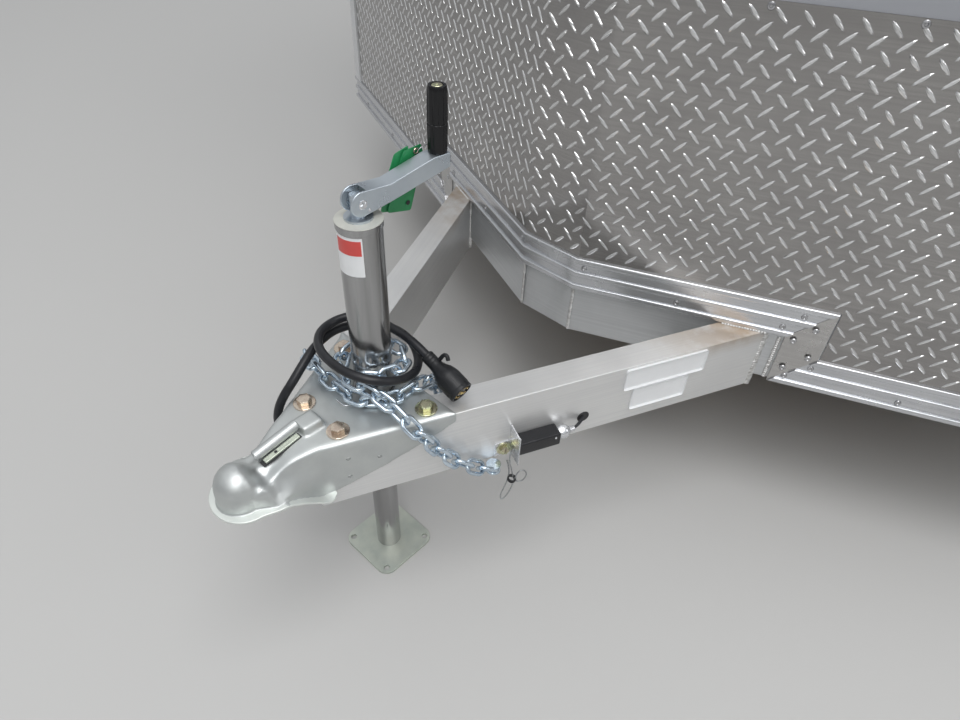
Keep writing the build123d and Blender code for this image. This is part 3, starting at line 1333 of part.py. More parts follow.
# Side door hardware: hinge knuckles at the front edge and a bar lock across the rear edge.
# The frame on the skin carries the other knuckles and the lock's cheeks
DOOR_HINGE_X = SKIN_IN - HALF_WIDTH - DOOR_HINGE_RADIUS
DOOR_HINGE_Y = DOOR_FRONT - DOOR_GAP / 2
DOOR_HINGES = [SIDE_DOOR_SILL + SIDE_DOOR_HEIGHT * part for part in (0.1, 0.5, 0.9)]
SKIN_X = SKIN_IN - HALF_WIDTH
BAR_Y = DOOR_FRONT + SIDE_DOOR_WIDTH - BAR_INSET
BAR_X = SKIN_X - DOOR_FRAME_DEPTH - ROD_CLEAR - LOCK_ROD / 2
BAR_ENDS = (SIDE_DOOR_SILL - BAR_REACH, DOOR_TOP + BAR_REACH)
BAR_GUIDES = [SIDE_DOOR_SILL + SIDE_DOOR_HEIGHT * part for part in (0.05, 0.34, 0.61, 0.95)]
with BuildPart() as side_door_frame:
    with BuildSketch(Plane.YZ.offset(SKIN_X)):
        with Locations((DOOR_FRONT + SIDE_DOOR_WIDTH / 2, SIDE_DOOR_SILL + SIDE_DOOR_HEIGHT / 2)):
            Rectangle(SIDE_DOOR_WIDTH + 2 * DOOR_FRAME, SIDE_DOOR_HEIGHT + 2 * DOOR_FRAME)
            Rectangle(SIDE_DOOR_WIDTH + 2 * DOOR_GAP, SIDE_DOOR_HEIGHT + 2 * DOOR_GAP, mode=Mode.SUBTRACT)
    extrude(amount=-DOOR_FRAME_DEPTH)
    for height in DOOR_HINGES:
        with Locations((DOOR_HINGE_X, DOOR_HINGE_Y, height)):
            Cylinder(DOOR_HINGE_RADIUS + 1, DOOR_KNUCKLE + 1, mode=Mode.SUBTRACT)
        for step in (1, -1):
            with Locations((DOOR_HINGE_X, DOOR_HINGE_Y, height + step * DOOR_KNUCKLE)):
                Cylinder(DOOR_HINGE_RADIUS, DOOR_KNUCKLE - 1)
            with Locations((SKIN_X, DOOR_HINGE_Y, height + step * DOOR_KNUCKLE)):
                Box(
                    DOOR_FRAME_DEPTH,
                    DOOR_LEAF,
                    DOOR_KNUCKLE - 1,
                    align=(Align.MAX, Align.MAX, Align.CENTER),
                )
    for z in (SIDE_DOOR_SILL - DOOR_GAP - 12, DOOR_TOP + DOOR_GAP + 12):
        for step in (1, -1):
            with Locations((SKIN_X, BAR_Y + step * ((LOCK_ROD + CHEEK) / 2 + ROD_CLEAR), z)):
                Box(LOCK_ROD + 12, CHEEK, 24, align=(Align.MAX, Align.CENTER, Align.CENTER))
side_door_frame.part.label = "side_door_frame"
export_step(side_door_frame.part, "parts/side_door_frame.step")

with BuildPart() as side_door_lock:
    for height in DOOR_HINGES:
        with Locations((DOOR_HINGE_X, DOOR_HINGE_Y, height)):
            Cylinder(DOOR_HINGE_RADIUS, DOOR_KNUCKLE - 1)
        with Locations((SKIN_X, DOOR_HINGE_Y, height)):
            Box(
                DOOR_FRAME_DEPTH, DOOR_LEAF, DOOR_KNUCKLE - 1, align=(Align.MAX, Align.MIN, Align.CENTER)
            )
    with Locations((BAR_X, BAR_Y, BAR_ENDS[0])):
        Cylinder(LOCK_ROD / 2, BAR_ENDS[1] - BAR_ENDS[0], align=(Align.CENTER, Align.CENTER, Align.MIN))
    for z in BAR_GUIDES:
        with Locations((SKIN_X, BAR_Y, z)):
            Box(LOCK_ROD + 14, *LOCK_GUIDE, align=(Align.MAX, Align.CENTER, Align.CENTER))
    handle_z = SIDE_DOOR_SILL + SIDE_DOOR_HEIGHT * BAR_HANDLE
    with Locations((BAR_X - LOCK_ROD / 2 - 3, BAR_Y - HANDLE_IN, handle_z)):
        Box(HANDLE_THICK, DOOR_HANDLE, HANDLE_WIDTH)
side_door_lock.part.label = "side_door_lock"
export_step(side_door_lock.part, "parts/side_door_lock.step")

# Axles: a square tube under the main rails, trailing arms that rise to the spindles
WHEEL_X = HALF_WIDTH - SKIN_IN - TYRE_INSET - TYRE_WIDTH / 2
TUBE_Z = TYRE_RADIUS - AXLE_DROP
ARM_BACK = 140.0
ARM_THICK = 20.0
ARM_CLEAR = 12.0           # from the tyre to the arm
ARM_WIDTH = 70.0
SPINDLE = 42.0
DRUM_WIDTH = 52.0
DRUM_RADIUS = 132.0
DRUM_OUT = 8.0             # outer face of the drum, from the wheel's middle
DRUM_IN = WHEEL_X + DRUM_OUT - DRUM_WIDTH
ARM_OUT = WHEEL_X - TYRE_WIDTH / 2 - ARM_CLEAR
for name, axle_y in (("front", AXLES_Y - WHEEL_SPREAD / 2), ("rear", AXLES_Y + WHEEL_SPREAD / 2)):
    tube_y = axle_y - ARM_BACK
    with BuildPart() as axle:
        with BuildSketch(Plane.YZ.offset(-ARM_OUT + ARM_THICK)):
            with Locations((tube_y, TUBE_Z)):
                RectangleRounded(AXLE_TUBE, AXLE_TUBE, 10)
        extrude(amount=2 * (ARM_OUT - ARM_THICK))
        for turn in (1, -1):
            with BuildSketch(Plane.YZ.offset(turn * (ARM_OUT - ARM_THICK))):
                with BuildLine():
                    Polyline(
                        (tube_y - ARM_WIDTH / 2, TUBE_Z),
                        (tube_y, TUBE_Z - ARM_WIDTH / 2),
                        (axle_y, TYRE_RADIUS - ARM_WIDTH / 2),
                        (axle_y + ARM_WIDTH / 2, TYRE_RADIUS),
                        (axle_y, TYRE_RADIUS + ARM_WIDTH / 2),
                        (tube_y, TUBE_Z + ARM_WIDTH / 2),
                        close=True,
                    )
                make_face()
            extrude(amount=turn * ARM_THICK)
            with BuildSketch(Plane.YZ.offset(turn * ARM_OUT)):
                with Locations((axle_y, TYRE_RADIUS)):
                    Circle(SPINDLE / 2)
            extrude(amount=turn * (DRUM_IN - ARM_OUT - 0.4))
            with Locations((turn * MAIN_RAIL_OUT, tube_y, FRAME_BOTTOM)):
                Box(
                    MAIN_RAIL_WIDTH,
                    AXLE_TUBE + 40,
                    FRAME_BOTTOM - TUBE_Z,
                    align=(Align.CENTER, Align.CENTER, Align.MAX),
                )
    axle.part.label = f"axle_{name}"
    export_step(axle.part, f"parts/axle_{name}.step")

# Wheels: a dished rim with windows on its hub and brake drum, and a tyre round it
RIM_HALF = 76.0
RIM_WALL = 5.0
RIM_DROP = 22.0            # well in the middle of the rim
FLANGE_RISE = 12.0
FLANGE_WIDTH = 6.0
DISC_FACE = 41.0           # outer face of the disc, from the wheel's middle
DISC_THICK = 9.0
HUB_SEAT = 27.0            # outer face of the disc where it is bolted to the hub
HUB_RADIUS = 74.0
CAP_RADIUS = 42.0
CAP_REACH = 50.0
WINDOWS = 8
WINDOW = 42.0
WINDOW_HEIGHT = 30.0
WINDOW_CIRCLE = 120.0
rim_radius = RIM_DIAMETER / 2
well_radius = rim_radius - RIM_DROP


# Inner side of the rim where it widens from the well to the outer bead seat
def slope_radius(x):
    return well_radius - RIM_WALL + (x - RIM_HALF + 60) * RIM_DROP / 28


with BuildPart() as wheel:
    with BuildSketch(Plane.XY):
        with BuildLine():
            Polyline(
                (-RIM_HALF, rim_radius + FLANGE_RISE),
                (-RIM_HALF + FLANGE_WIDTH, rim_radius + FLANGE_RISE),
                (-RIM_HALF + FLANGE_WIDTH, rim_radius),
                (-RIM_HALF + 34, rim_radius),
                (-RIM_HALF + 46, well_radius),
                (RIM_HALF - 62, well_radius),
                (RIM_HALF - 34, rim_radius),
                (RIM_HALF - FLANGE_WIDTH, rim_radius),
                (RIM_HALF - FLANGE_WIDTH, rim_radius + FLANGE_RISE),
                (RIM_HALF, rim_radius + FLANGE_RISE),
                (RIM_HALF, rim_radius - RIM_WALL),
                (RIM_HALF - 32, rim_radius - RIM_WALL),
                (DISC_FACE, slope_radius(DISC_FACE)),
                (DISC_FACE, HUB_RADIUS + 10),
                (HUB_SEAT, HUB_RADIUS - 4),
                (HUB_SEAT, CAP_RADIUS),
                (HUB_SEAT + CAP_REACH - 4, CAP_RADIUS - 4),
                (HUB_SEAT + CAP_REACH, 0),
                (DRUM_OUT - DRUM_WIDTH, 0),
                (DRUM_OUT - DRUM_WIDTH, DRUM_RADIUS),
                (DRUM_OUT, DRUM_RADIUS),
                (DRUM_OUT, HUB_RADIUS),
                (HUB_SEAT - DISC_THICK, HUB_RADIUS),
                (DISC_FACE - DISC_THICK, HUB_RADIUS + 14),
                (DISC_FACE - DISC_THICK, slope_radius(DISC_FACE - DISC_THICK)),
                (RIM_HALF - 60, well_radius - RIM_WALL),
                (-RIM_HALF + 44, well_radius - RIM_WALL),
                (-RIM_HALF + 32, rim_radius - RIM_WALL),
                (-RIM_HALF, rim_radius - RIM_WALL),
                close=True,
            )
        make_face()
    revolve(axis=Axis.X)
    with BuildSketch(Plane.YZ.offset(DISC_FACE - DISC_THICK - 1)):
        with PolarLocations(WINDOW_CIRCLE, WINDOWS):
            RectangleRounded(WINDOW_HEIGHT, WINDOW, 8)
    extrude(amount=DISC_THICK + 2, mode=Mode.SUBTRACT)

TYRE_SEAT = 0.3
with BuildPart() as tyre:
    with BuildSketch(Plane.XY):
        with BuildLine():
            Polyline(
                (-RIM_HALF + FLANGE_WIDTH + TYRE_SEAT, rim_radius + TYRE_SEAT),
                (-RIM_HALF + FLANGE_WIDTH + TYRE_SEAT, rim_radius + FLANGE_RISE + 4),
                (-TYRE_WIDTH / 2, (rim_radius + TYRE_RADIUS) / 2),
                (-TYRE_WIDTH / 2 + 6, TYRE_RADIUS - 36),
                (-TYRE_WIDTH / 2 + 22, TYRE_RADIUS - 8),
                (-TYRE_WIDTH / 4, TYRE_RADIUS),
                (TYRE_WIDTH / 4, TYRE_RADIUS),
                (TYRE_WIDTH / 2 - 22, TYRE_RADIUS - 8),
                (TYRE_WIDTH / 2 - 6, TYRE_RADIUS - 36),
                (TYRE_WIDTH / 2, (rim_radius + TYRE_RADIUS) / 2),
                (RIM_HALF - FLANGE_WIDTH - TYRE_SEAT, rim_radius + FLANGE_RISE + 4),
                (RIM_HALF - FLANGE_WIDTH - TYRE_SEAT, rim_radius + TYRE_SEAT),
                (RIM_HALF - 22, rim_radius + TYRE_SEAT),
                (TYRE_WIDTH / 2 - 14, (rim_radius + TYRE_RADIUS) / 2),
                (TYRE_WIDTH / 2 - 34, TYRE_RADIUS - 16),
                (34 - TYRE_WIDTH / 2, TYRE_RADIUS - 16),
                (14 - TYRE_WIDTH / 2, (rim_radius + TYRE_RADIUS) / 2),
                (-RIM_HALF + 22, rim_radius + TYRE_SEAT),
                close=True,
            )
        make_face()
    revolve(axis=Axis.X)

for name, axle_y in (("front", AXLES_Y - WHEEL_SPREAD / 2), ("rear", AXLES_Y + WHEEL_SPREAD / 2)):
    for side, turn in (("left", 1), ("right", -1)):
        place = Location((turn * WHEEL_X, axle_y, TYRE_RADIUS), (0, 0, 0 if turn == 1 else 180))
        with BuildPart() as placed_wheel:
            with Locations(place):
                add(wheel.part)
        placed_wheel.part.label = f"wheel_{name}_{side}"
        export_step(placed_wheel.part, f"parts/wheel_{name}_{side}.step")
        with BuildPart() as placed_tyre:
            with Locations(place):
                add(tyre.part)
        placed_tyre.part.label = f"tyre_{name}_{side}"
        export_step(placed_tyre.part, f"parts/tyre_{name}_{side}.step")

# Lamps: tail lamps on the rear posts, three small ones on the header, and markers
with BuildPart() as tail_lamps:
    for turn in (1, -1):
        with Locations((turn * (HALF_WIDTH - REAR_POST / 2), REAR_Y, TAIL_LAMP_Z)):
            Box(*TAIL_LAMP, align=(Align.CENTER, Align.MIN, Align.CENTER))
    for x in (-HEADER_LAMP_PITCH, 0, HEADER_LAMP_PITCH):
        with Locations((x, REAR_Y, WALL_TOP - HEADER_LAMP_DOWN)):
            Box(*HEADER_LAMP, align=(Align.CENTER, Align.MIN, Align.CENTER))
    fillet(tail_lamps.edges().filter_by(Axis.Y), LAMP_ROUND)
tail_lamps.part.label = "tail_lamps"
export_step(tail_lamps.part, "parts/tail_lamps.step")

with BuildPart() as marker_lamps:
    for turn in (1, -1):
        lamp_face = Plane(
            origin=(*along_rake(CORNER_ALONG - NOSE_LAMP_IN, turn), WALL_TOP - NOSE_LAMP_DOWN),
            x_dir=(cos(RAKE), turn * sin(RAKE), 0),
            z_dir=(turn * sin(RAKE), -cos(RAKE), 0),
        )
        with BuildSketch(lamp_face.offset(-SKIN_IN)):
            RectangleRounded(*NOSE_LAMP, LAMP_ROUND)
        extrude(amount=SKIN_IN + LAMP_STAND)
        with BuildSketch(Plane.YZ.offset(turn * (HALF_WIDTH - SKIN_IN))):
            with Locations((CORNER_Y + SIDE_LAMP_IN, SIDE_LAMP_Z), (SILL_Y - SIDE_LAMP_IN, SIDE_LAMP_Z)):
                RectangleRounded(*SIDE_LAMP, LAMP_ROUND)
        extrude(amount=turn * LAMP_STAND)
marker_lamps.part.label = "marker_lamps"
export_step(marker_lamps.part, "parts/marker_lamps.step")
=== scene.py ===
import math
import random

import bpy
from mathutils import Matrix, Vector


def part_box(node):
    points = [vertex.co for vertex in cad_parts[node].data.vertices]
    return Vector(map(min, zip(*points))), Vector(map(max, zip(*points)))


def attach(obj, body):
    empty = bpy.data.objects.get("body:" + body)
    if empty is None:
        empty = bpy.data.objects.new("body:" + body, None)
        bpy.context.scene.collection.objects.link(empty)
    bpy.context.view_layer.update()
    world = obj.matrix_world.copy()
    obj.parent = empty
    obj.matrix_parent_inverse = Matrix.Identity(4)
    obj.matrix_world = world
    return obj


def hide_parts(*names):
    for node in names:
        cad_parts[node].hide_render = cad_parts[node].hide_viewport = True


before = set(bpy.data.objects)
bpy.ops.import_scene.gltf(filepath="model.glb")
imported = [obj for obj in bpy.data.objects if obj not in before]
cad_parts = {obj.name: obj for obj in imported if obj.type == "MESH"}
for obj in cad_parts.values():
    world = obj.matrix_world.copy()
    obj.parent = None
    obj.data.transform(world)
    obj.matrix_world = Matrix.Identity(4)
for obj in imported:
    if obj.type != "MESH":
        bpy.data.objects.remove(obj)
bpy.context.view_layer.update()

# An enclosed cargo trailer with a V nose, seen from beside its tongue.
# Metres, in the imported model's frame: +X is the trailer's left side, -Y its front, +Z up.
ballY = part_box("coupler_body")[0].y + 0.043      # middle of the ball socket
frameTop = 0.4191
plateTop = frameTop + 0.0038                     # top face of the coupler
noseY = ballY + 0.6728                           # flat front of the nose
noseHalf = 0.0629                                # half its width
rake = math.radians(23.58)                       # how far each nose side falls back
tongueAngle = math.radians(25)
apexY = ballY + 0.0637                           # where the tongue rails' centre lines cross
railHalf = 0.0254                                # half a tongue rail's width
railUnder = frameTop - 0.127                     # its lower face
jackBack = 0.245                                 # how far the jack stands behind the ball
jackY = ballY + jackBack
doubleGap = 0.00002                              # points nearer than this are merged


def tongue(x, y, z):
    return Vector((x, ballY + y, z))


def at(x, y, z):
    return Matrix.Translation(tongue(x, y, z))


# a point on the nose's raked side: distance from the bend, depth behind the trim's face, height
def onNose(along, inset, z, turn=1):
    x = noseHalf + along * math.cos(rake) - inset * math.sin(rake)
    y = noseY + along * math.sin(rake) + inset * math.cos(rake)
    return Vector((turn * x, y, z))


def noseNormal(turn=1):
    return Vector((turn * math.sin(rake), -math.cos(rake), 0))


# a point beside a tongue rail: distance from the apex, distance out of its face, height
def onRail(along, out, z, turn=1):
    side = railHalf + out
    x = along * math.sin(tongueAngle) + side * math.cos(tongueAngle)
    y = apexY + along * math.cos(tongueAngle) - side * math.sin(tongueAngle)
    return Vector((turn * x, y, z))


def railNormal(turn=1):
    return Vector((turn * math.cos(tongueAngle), -math.sin(tongueAngle), 0))


def clamp(share):
    return min(1.0, max(0.0, share))


# the turn whose X, Y and Z lie along three directions
def axes(x, y, z):
    return Matrix((x, y, z)).transposed().to_4x4()


railRun = Vector((math.sin(tongueAngle), math.cos(tongueAngle), 0))     # along the left rail
railAxes = axes(railRun, Vector((0, 0, 1)), railNormal())


# Handling of objects
def deselect():
    if bpy.context.object and bpy.context.object.mode != "OBJECT":
        bpy.ops.object.mode_set(mode="OBJECT")
    bpy.ops.object.select_all(action="DESELECT")


def pick(*pieces):
    deselect()
    for piece in pieces:
        piece.select_set(True)
    bpy.context.view_layer.objects.active = pieces[0]
    return pieces[0]


def settle(piece):
    pick(piece)
    bpy.ops.object.transform_apply(location=True, rotation=True, scale=True)
    return piece


# a node's name in the way that pieces are named, with its first letter large
def camel(name):
    return name.title().replace("_", "")


def copyPiece(piece, matrix):
    twin = bpy.data.objects.new(piece.name, piece.data.copy())
    bpy.context.scene.collection.objects.link(twin)
    twin.data.transform(matrix)
    return twin


def joinPieces(pieces):
    pick(*pieces)
    if len(pieces) > 1:
        bpy.ops.object.join()
    return settle(bpy.context.object)


def drop(piece):
    bpy.data.objects.remove(piece)


# Turns a shape drawn about +Z so that +Z points along a direction, and moves it to a place
def aim(place, direction, spin=0.0):
    turn = Vector(direction).to_track_quat("Z", "Y").to_matrix().to_4x4()
    return Matrix.Translation(place) @ turn @ Matrix.Rotation(spin, 4, "Z")


# places spread evenly round an axis, at a radius and a height
def around(place, count, start, radius, height):
    return [place @ Matrix.Rotation(2 * math.pi * number / count + start, 4, "Z") @
            Matrix.Translation((radius, 0, height)) for number in range(count)]


def edit(piece, select="SELECT"):
    pick(piece)
    bpy.ops.object.mode_set(mode="EDIT")
    bpy.ops.mesh.select_mode(type="VERT")
    bpy.ops.mesh.select_all(action=select)


def leaveEdit():
    bpy.ops.object.mode_set(mode="OBJECT")


def extrude(height):
    bpy.ops.mesh.extrude_region_move(TRANSFORM_OT_translate={"value": (0, 0, height)})


def closeUp(doubles=0.0):
    bpy.ops.mesh.select_all(action="SELECT")
    if doubles:
        bpy.ops.mesh.remove_doubles(threshold=doubles)
    bpy.ops.mesh.normals_make_consistent(inside=False)
    leaveEdit()


def modify(piece, kind, **values):
    pick(piece)
    modifier = piece.modifiers.new(kind.title(), kind)
    for key, value in values.items():
        setattr(modifier, key, value)
    bpy.ops.object.modifier_apply(modifier=modifier.name)
    return piece


def bevelEdges(piece, width, segments=2, angle=30):
    return modify(piece, "BEVEL", width=width, segments=segments, limit_method="ANGLE",
                  angle_limit=math.radians(angle), use_clamp_overlap=True)


# Smooth shading that keeps large faces flat beside their eased edges
def smooth(piece, angle=35):
    pick(piece)
    bpy.ops.object.shade_smooth_by_angle(angle=math.radians(angle))
    return modify(piece, "WEIGHTED_NORMAL", keep_sharp=True)


def addBox(size, matrix, bevel=0.0, segments=2):
    deselect()
    bpy.ops.mesh.primitive_cube_add(size=1)
    piece = bpy.context.object
    piece.scale = size
    settle(piece)
    if bevel:
        bevelEdges(piece, bevel, segments)
    piece.data.transform(matrix)
    return piece


# A turned piece: its outline as radius and height, spun about +Z, then put in its place
def addTurned(outline, matrix, steps=40):
    deselect()
    points = [Vector((radius, 0, height)) for radius, height in outline]
    bpy.ops.mesh.primitive_plane_add(size=0.001, location=points[0])
    piece = settle(bpy.context.object)
    edit(piece)
    bpy.ops.mesh.merge(type="CENTER")
    for before, after in zip(points, points[1:]):
        bpy.ops.mesh.extrude_vertices_move(TRANSFORM_OT_translate={"value": after - before})
    bpy.ops.mesh.select_all(action="SELECT")
    bpy.ops.mesh.spin(steps=steps, angle=2 * math.pi, center=(0, 0, 0), axis=(0, 0, 1))
    closeUp(doubleGap)
    piece.data.transform(matrix)
    return piece


# A merged copy of a node, with its edges softened
def softNode(node, width, segments=2, angle=30, flat=1.5):
    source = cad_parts[node]
    piece = bpy.data.objects.new(node + ".soft", source.data.copy())
    bpy.context.scene.collection.objects.link(piece)
    edit(piece)
    bpy.ops.mesh.remove_doubles(threshold=doubleGap)
    bpy.ops.mesh.dissolve_limited(angle_limit=math.radians(flat))
    leaveEdit()
    if width:
        bevelEdges(piece, width, segments, angle)
    return smooth(piece)


def fit(piece, name, finish, node="", body="chassis"):
    piece.name = name
    piece.data.name = name
    piece.data.materials.clear()
    piece.data.materials.append(finishes[finish])
    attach(piece, body)
    if node:
        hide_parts(node)
    return piece


# Materials
def startMaterial(name, colour, metal, rough):
    material = bpy.data.materials.new(name)
    material.use_nodes = True
    material.diffuse_color = (*colour, 1)
    shader = material.node_tree.nodes["Principled BSDF"]
    shader.inputs["Base Color"].default_value = (*colour, 1)
    shader.inputs["Metallic"].default_value = metal
    shader.inputs["Roughness"].default_value = rough
    return material, shader


def addNode(material, kind, **values):
    node = material.node_tree.nodes.new(kind)
    for key, value in values.items():
        if key in node.inputs:
            node.inputs[key].default_value = value
        else:
            setattr(node, key, value)
    return node


def wire(material, output, entry):
    material.node_tree.links.new(output, entry)


def pattern(material, scale=(1, 1, 1), turn=0.0):
    place = addNode(material, "ShaderNodeTexCoord")
    mapping = addNode(material, "ShaderNodeMapping", vector_type="TEXTURE")
    mapping.inputs["Scale"].default_value = [1 / part for part in scale]
    mapping.inputs["Rotation"].default_value = (0, 0, turn)
    wire(material, place.outputs["Object"], mapping.inputs["Vector"])
    return mapping.outputs["Vector"]


def noise(material, scale, detail=3.0, rough=0.5, vector=None):
    texture = addNode(material, "ShaderNodeTexNoise", Scale=scale, Detail=detail, Roughness=rough)
    wire(material, pattern(material) if vector is None else vector, texture.inputs["Vector"])
    return texture.outputs["Fac"]


def spread(material, value, low, high, outLow, outHigh):
    node = addNode(material, "ShaderNodeMapRange")
    for key, number in zip(("From Min", "From Max", "To Min", "To Max"), (low, high, outLow, outHigh)):
        node.inputs[key].default_value = number
    wire(material, value, node.inputs["Value"])
    return node.outputs["Result"]


def product(material, first, second, operation="MULTIPLY"):
    node = addNode(material, "ShaderNodeMath", operation=operation)
    wire(material, first, node.inputs[0])
    wire(material, second, node.inputs[1])
    return node.outputs["Value"]


def blendColours(material, factor, first, second):
    node = addNode(material, "ShaderNodeMix", data_type="RGBA")
    wire(material, factor, node.inputs["Factor"])
    for entry, colour in ((node.inputs[6], first), (node.inputs[7], second)):
        if isinstance(colour, tuple):
            entry.default_value = (*colour, 1)
        else:
            wire(material, colour, entry)
    return node.outputs[2]


# colours a shader between two tones as a value goes from low to high
def tint(material, shader, value, low, high, first, second):
    wire(material, blendColours(material, spread(material, value, low, high, 0, 1), first, second),
         shader.inputs["Base Color"])


def cloudGloss(material, shader, cloud, low, high):
    wire(material, spread(material, cloud, 0.3, 0.7, low, high), shader.inputs["Roughness"])


def addBump(material, shader, height, strength, distance):
    node = addNode(material, "ShaderNodeBump", Strength=strength, Distance=distance)
    wire(material, height, node.inputs["Height"])
    wire(material, node.outputs["Normal"], shader.inputs["Normal"])


# Extruded or rolled aluminium: fine lines along its length, mottled gloss
def aluminiumFinish(name, bright, dark, rough, turn, stain=False, metal=0.9):
    material, shader = startMaterial(name, bright, metal, rough)
    lines = noise(material, 1.0, 2, vector=pattern(material, (320 if turn else 3, 3, 320), turn))
    cloud = noise(material, 9, 5, 0.6)
    mixed = product(material, lines, cloud)
    colour = blendColours(material, spread(material, mixed, 0.12, 0.42, 0, 1), dark, bright)
    if stain:
        height = addNode(material, "ShaderNodeSeparateXYZ")
        wire(material, pattern(material), height.inputs["Vector"])
        near = spread(material, height.outputs["Y"], noseY - 0.06, noseY + 0.13, 0, 1)
        top = spread(material, height.outputs["Z"], frameTop - 0.030, frameTop - 0.001, 0, 1)
        blot = spread(material, noise(material, 15, 5, 0.6), 0.34, 0.58, 0.15, 0.9)
        mask = product(material, product(material, near, top), blot)
        colour = blendColours(material, mask, colour, (0.36, 0.25, 0.15))
    wire(material, colour, shader.inputs["Base Color"])
    cloudGloss(material, shader, cloud, rough - 0.06, rough + 0.1)
    addBump(material, shader, lines, 0.015, 0.0004)
    return material


def railFinish(name, turn):
    return aluminiumFinish(name, (0.74, 0.74, 0.73), (0.67, 0.67, 0.67), 0.34, turn, True, 0.60)


# Plated steel: a soft cloud in colour and gloss, with a fine grain
def platedFinish(name, bright, dark, rough, cloudScale=22, grain=260, metal=0.92, drawn=1.0, relief=0.012):
    material, shader = startMaterial(name, bright, metal, rough)
    vector = pattern(material, (1, 1, drawn))
    cloud = noise(material, cloudScale, 5, 0.55, vector)
    fine = noise(material, grain, 2, vector=vector)
    tint(material, shader, cloud, 0.35, 0.65, dark, bright)
    cloudGloss(material, shader, cloud, rough - 0.05, rough + 0.09)
    addBump(material, shader, fine, relief, 0.0003)
    return material


def paintFinish(name, colour, rough, peel=0.04, metal=0.0):
    material, shader = startMaterial(name, colour, metal, rough)
    shader.inputs["Coat Weight"].default_value = 0.35
    shader.inputs["Coat Roughness"].default_value = 0.12
    cloud = noise(material, 3, 5, 0.6)
    dim = tuple(0.95 * part for part in colour)
    tint(material, shader, cloud, 0.3, 0.7, dim, colour)
    addBump(material, shader, noise(material, 160, 2), peel, 0.0006)
    return material


def mouldedFinish(name, colour, rough, grain=500, depth=0.0002, fade=0.5, glint=0.5):
    material, shader = startMaterial(name, colour, 0, rough)
    shader.inputs["Specular IOR Level"].default_value = glint
    cloud = noise(material, 40, 4, 0.6)
    light = tuple((1 + fade) * part + 0.012 * fade for part in colour)
    tint(material, shader, cloud, 0.4, 0.75, colour, light)
    cloudGloss(material, shader, cloud, rough - 0.06, rough + 0.1)
    addBump(material, shader, noise(material, grain, 2), 0.25, depth)
    return material


def lensFinish(name, colour, ribs=420):
    material, shader = startMaterial(name, colour, 0, 0.12)
    shader.inputs["Coat Weight"].default_value = 0.8
    shader.inputs["Coat Roughness"].default_value = 0.05
    wave = addNode(material, "ShaderNodeTexWave", Scale=ribs, bands_direction="Z")
    wire(material, pattern(material), wave.inputs["Vector"])
    # the ribs' troughs are painted darker than their crests: painted shade in the grooves
    dim = tuple(0.55 * part for part in colour)
    wire(material, blendColours(material, wave.outputs["Fac"], dim, colour), shader.inputs["Base Color"])
    addBump(material, shader, wave.outputs["Fac"], 0.4, 0.0008)
    return material


def plyFinish():
    material, shader = startMaterial("plywoodDeck", (0.42, 0.29, 0.17), 0, 0.6)
    grain = noise(material, 3, 6, 0.65, pattern(material, (30, 1.5, 30)))
    tint(material, shader, grain, 0.3, 0.7, (0.27, 0.17, 0.09), (0.52, 0.38, 0.23))
    addBump(material, shader, grain, 0.2, 0.0005)
    return material


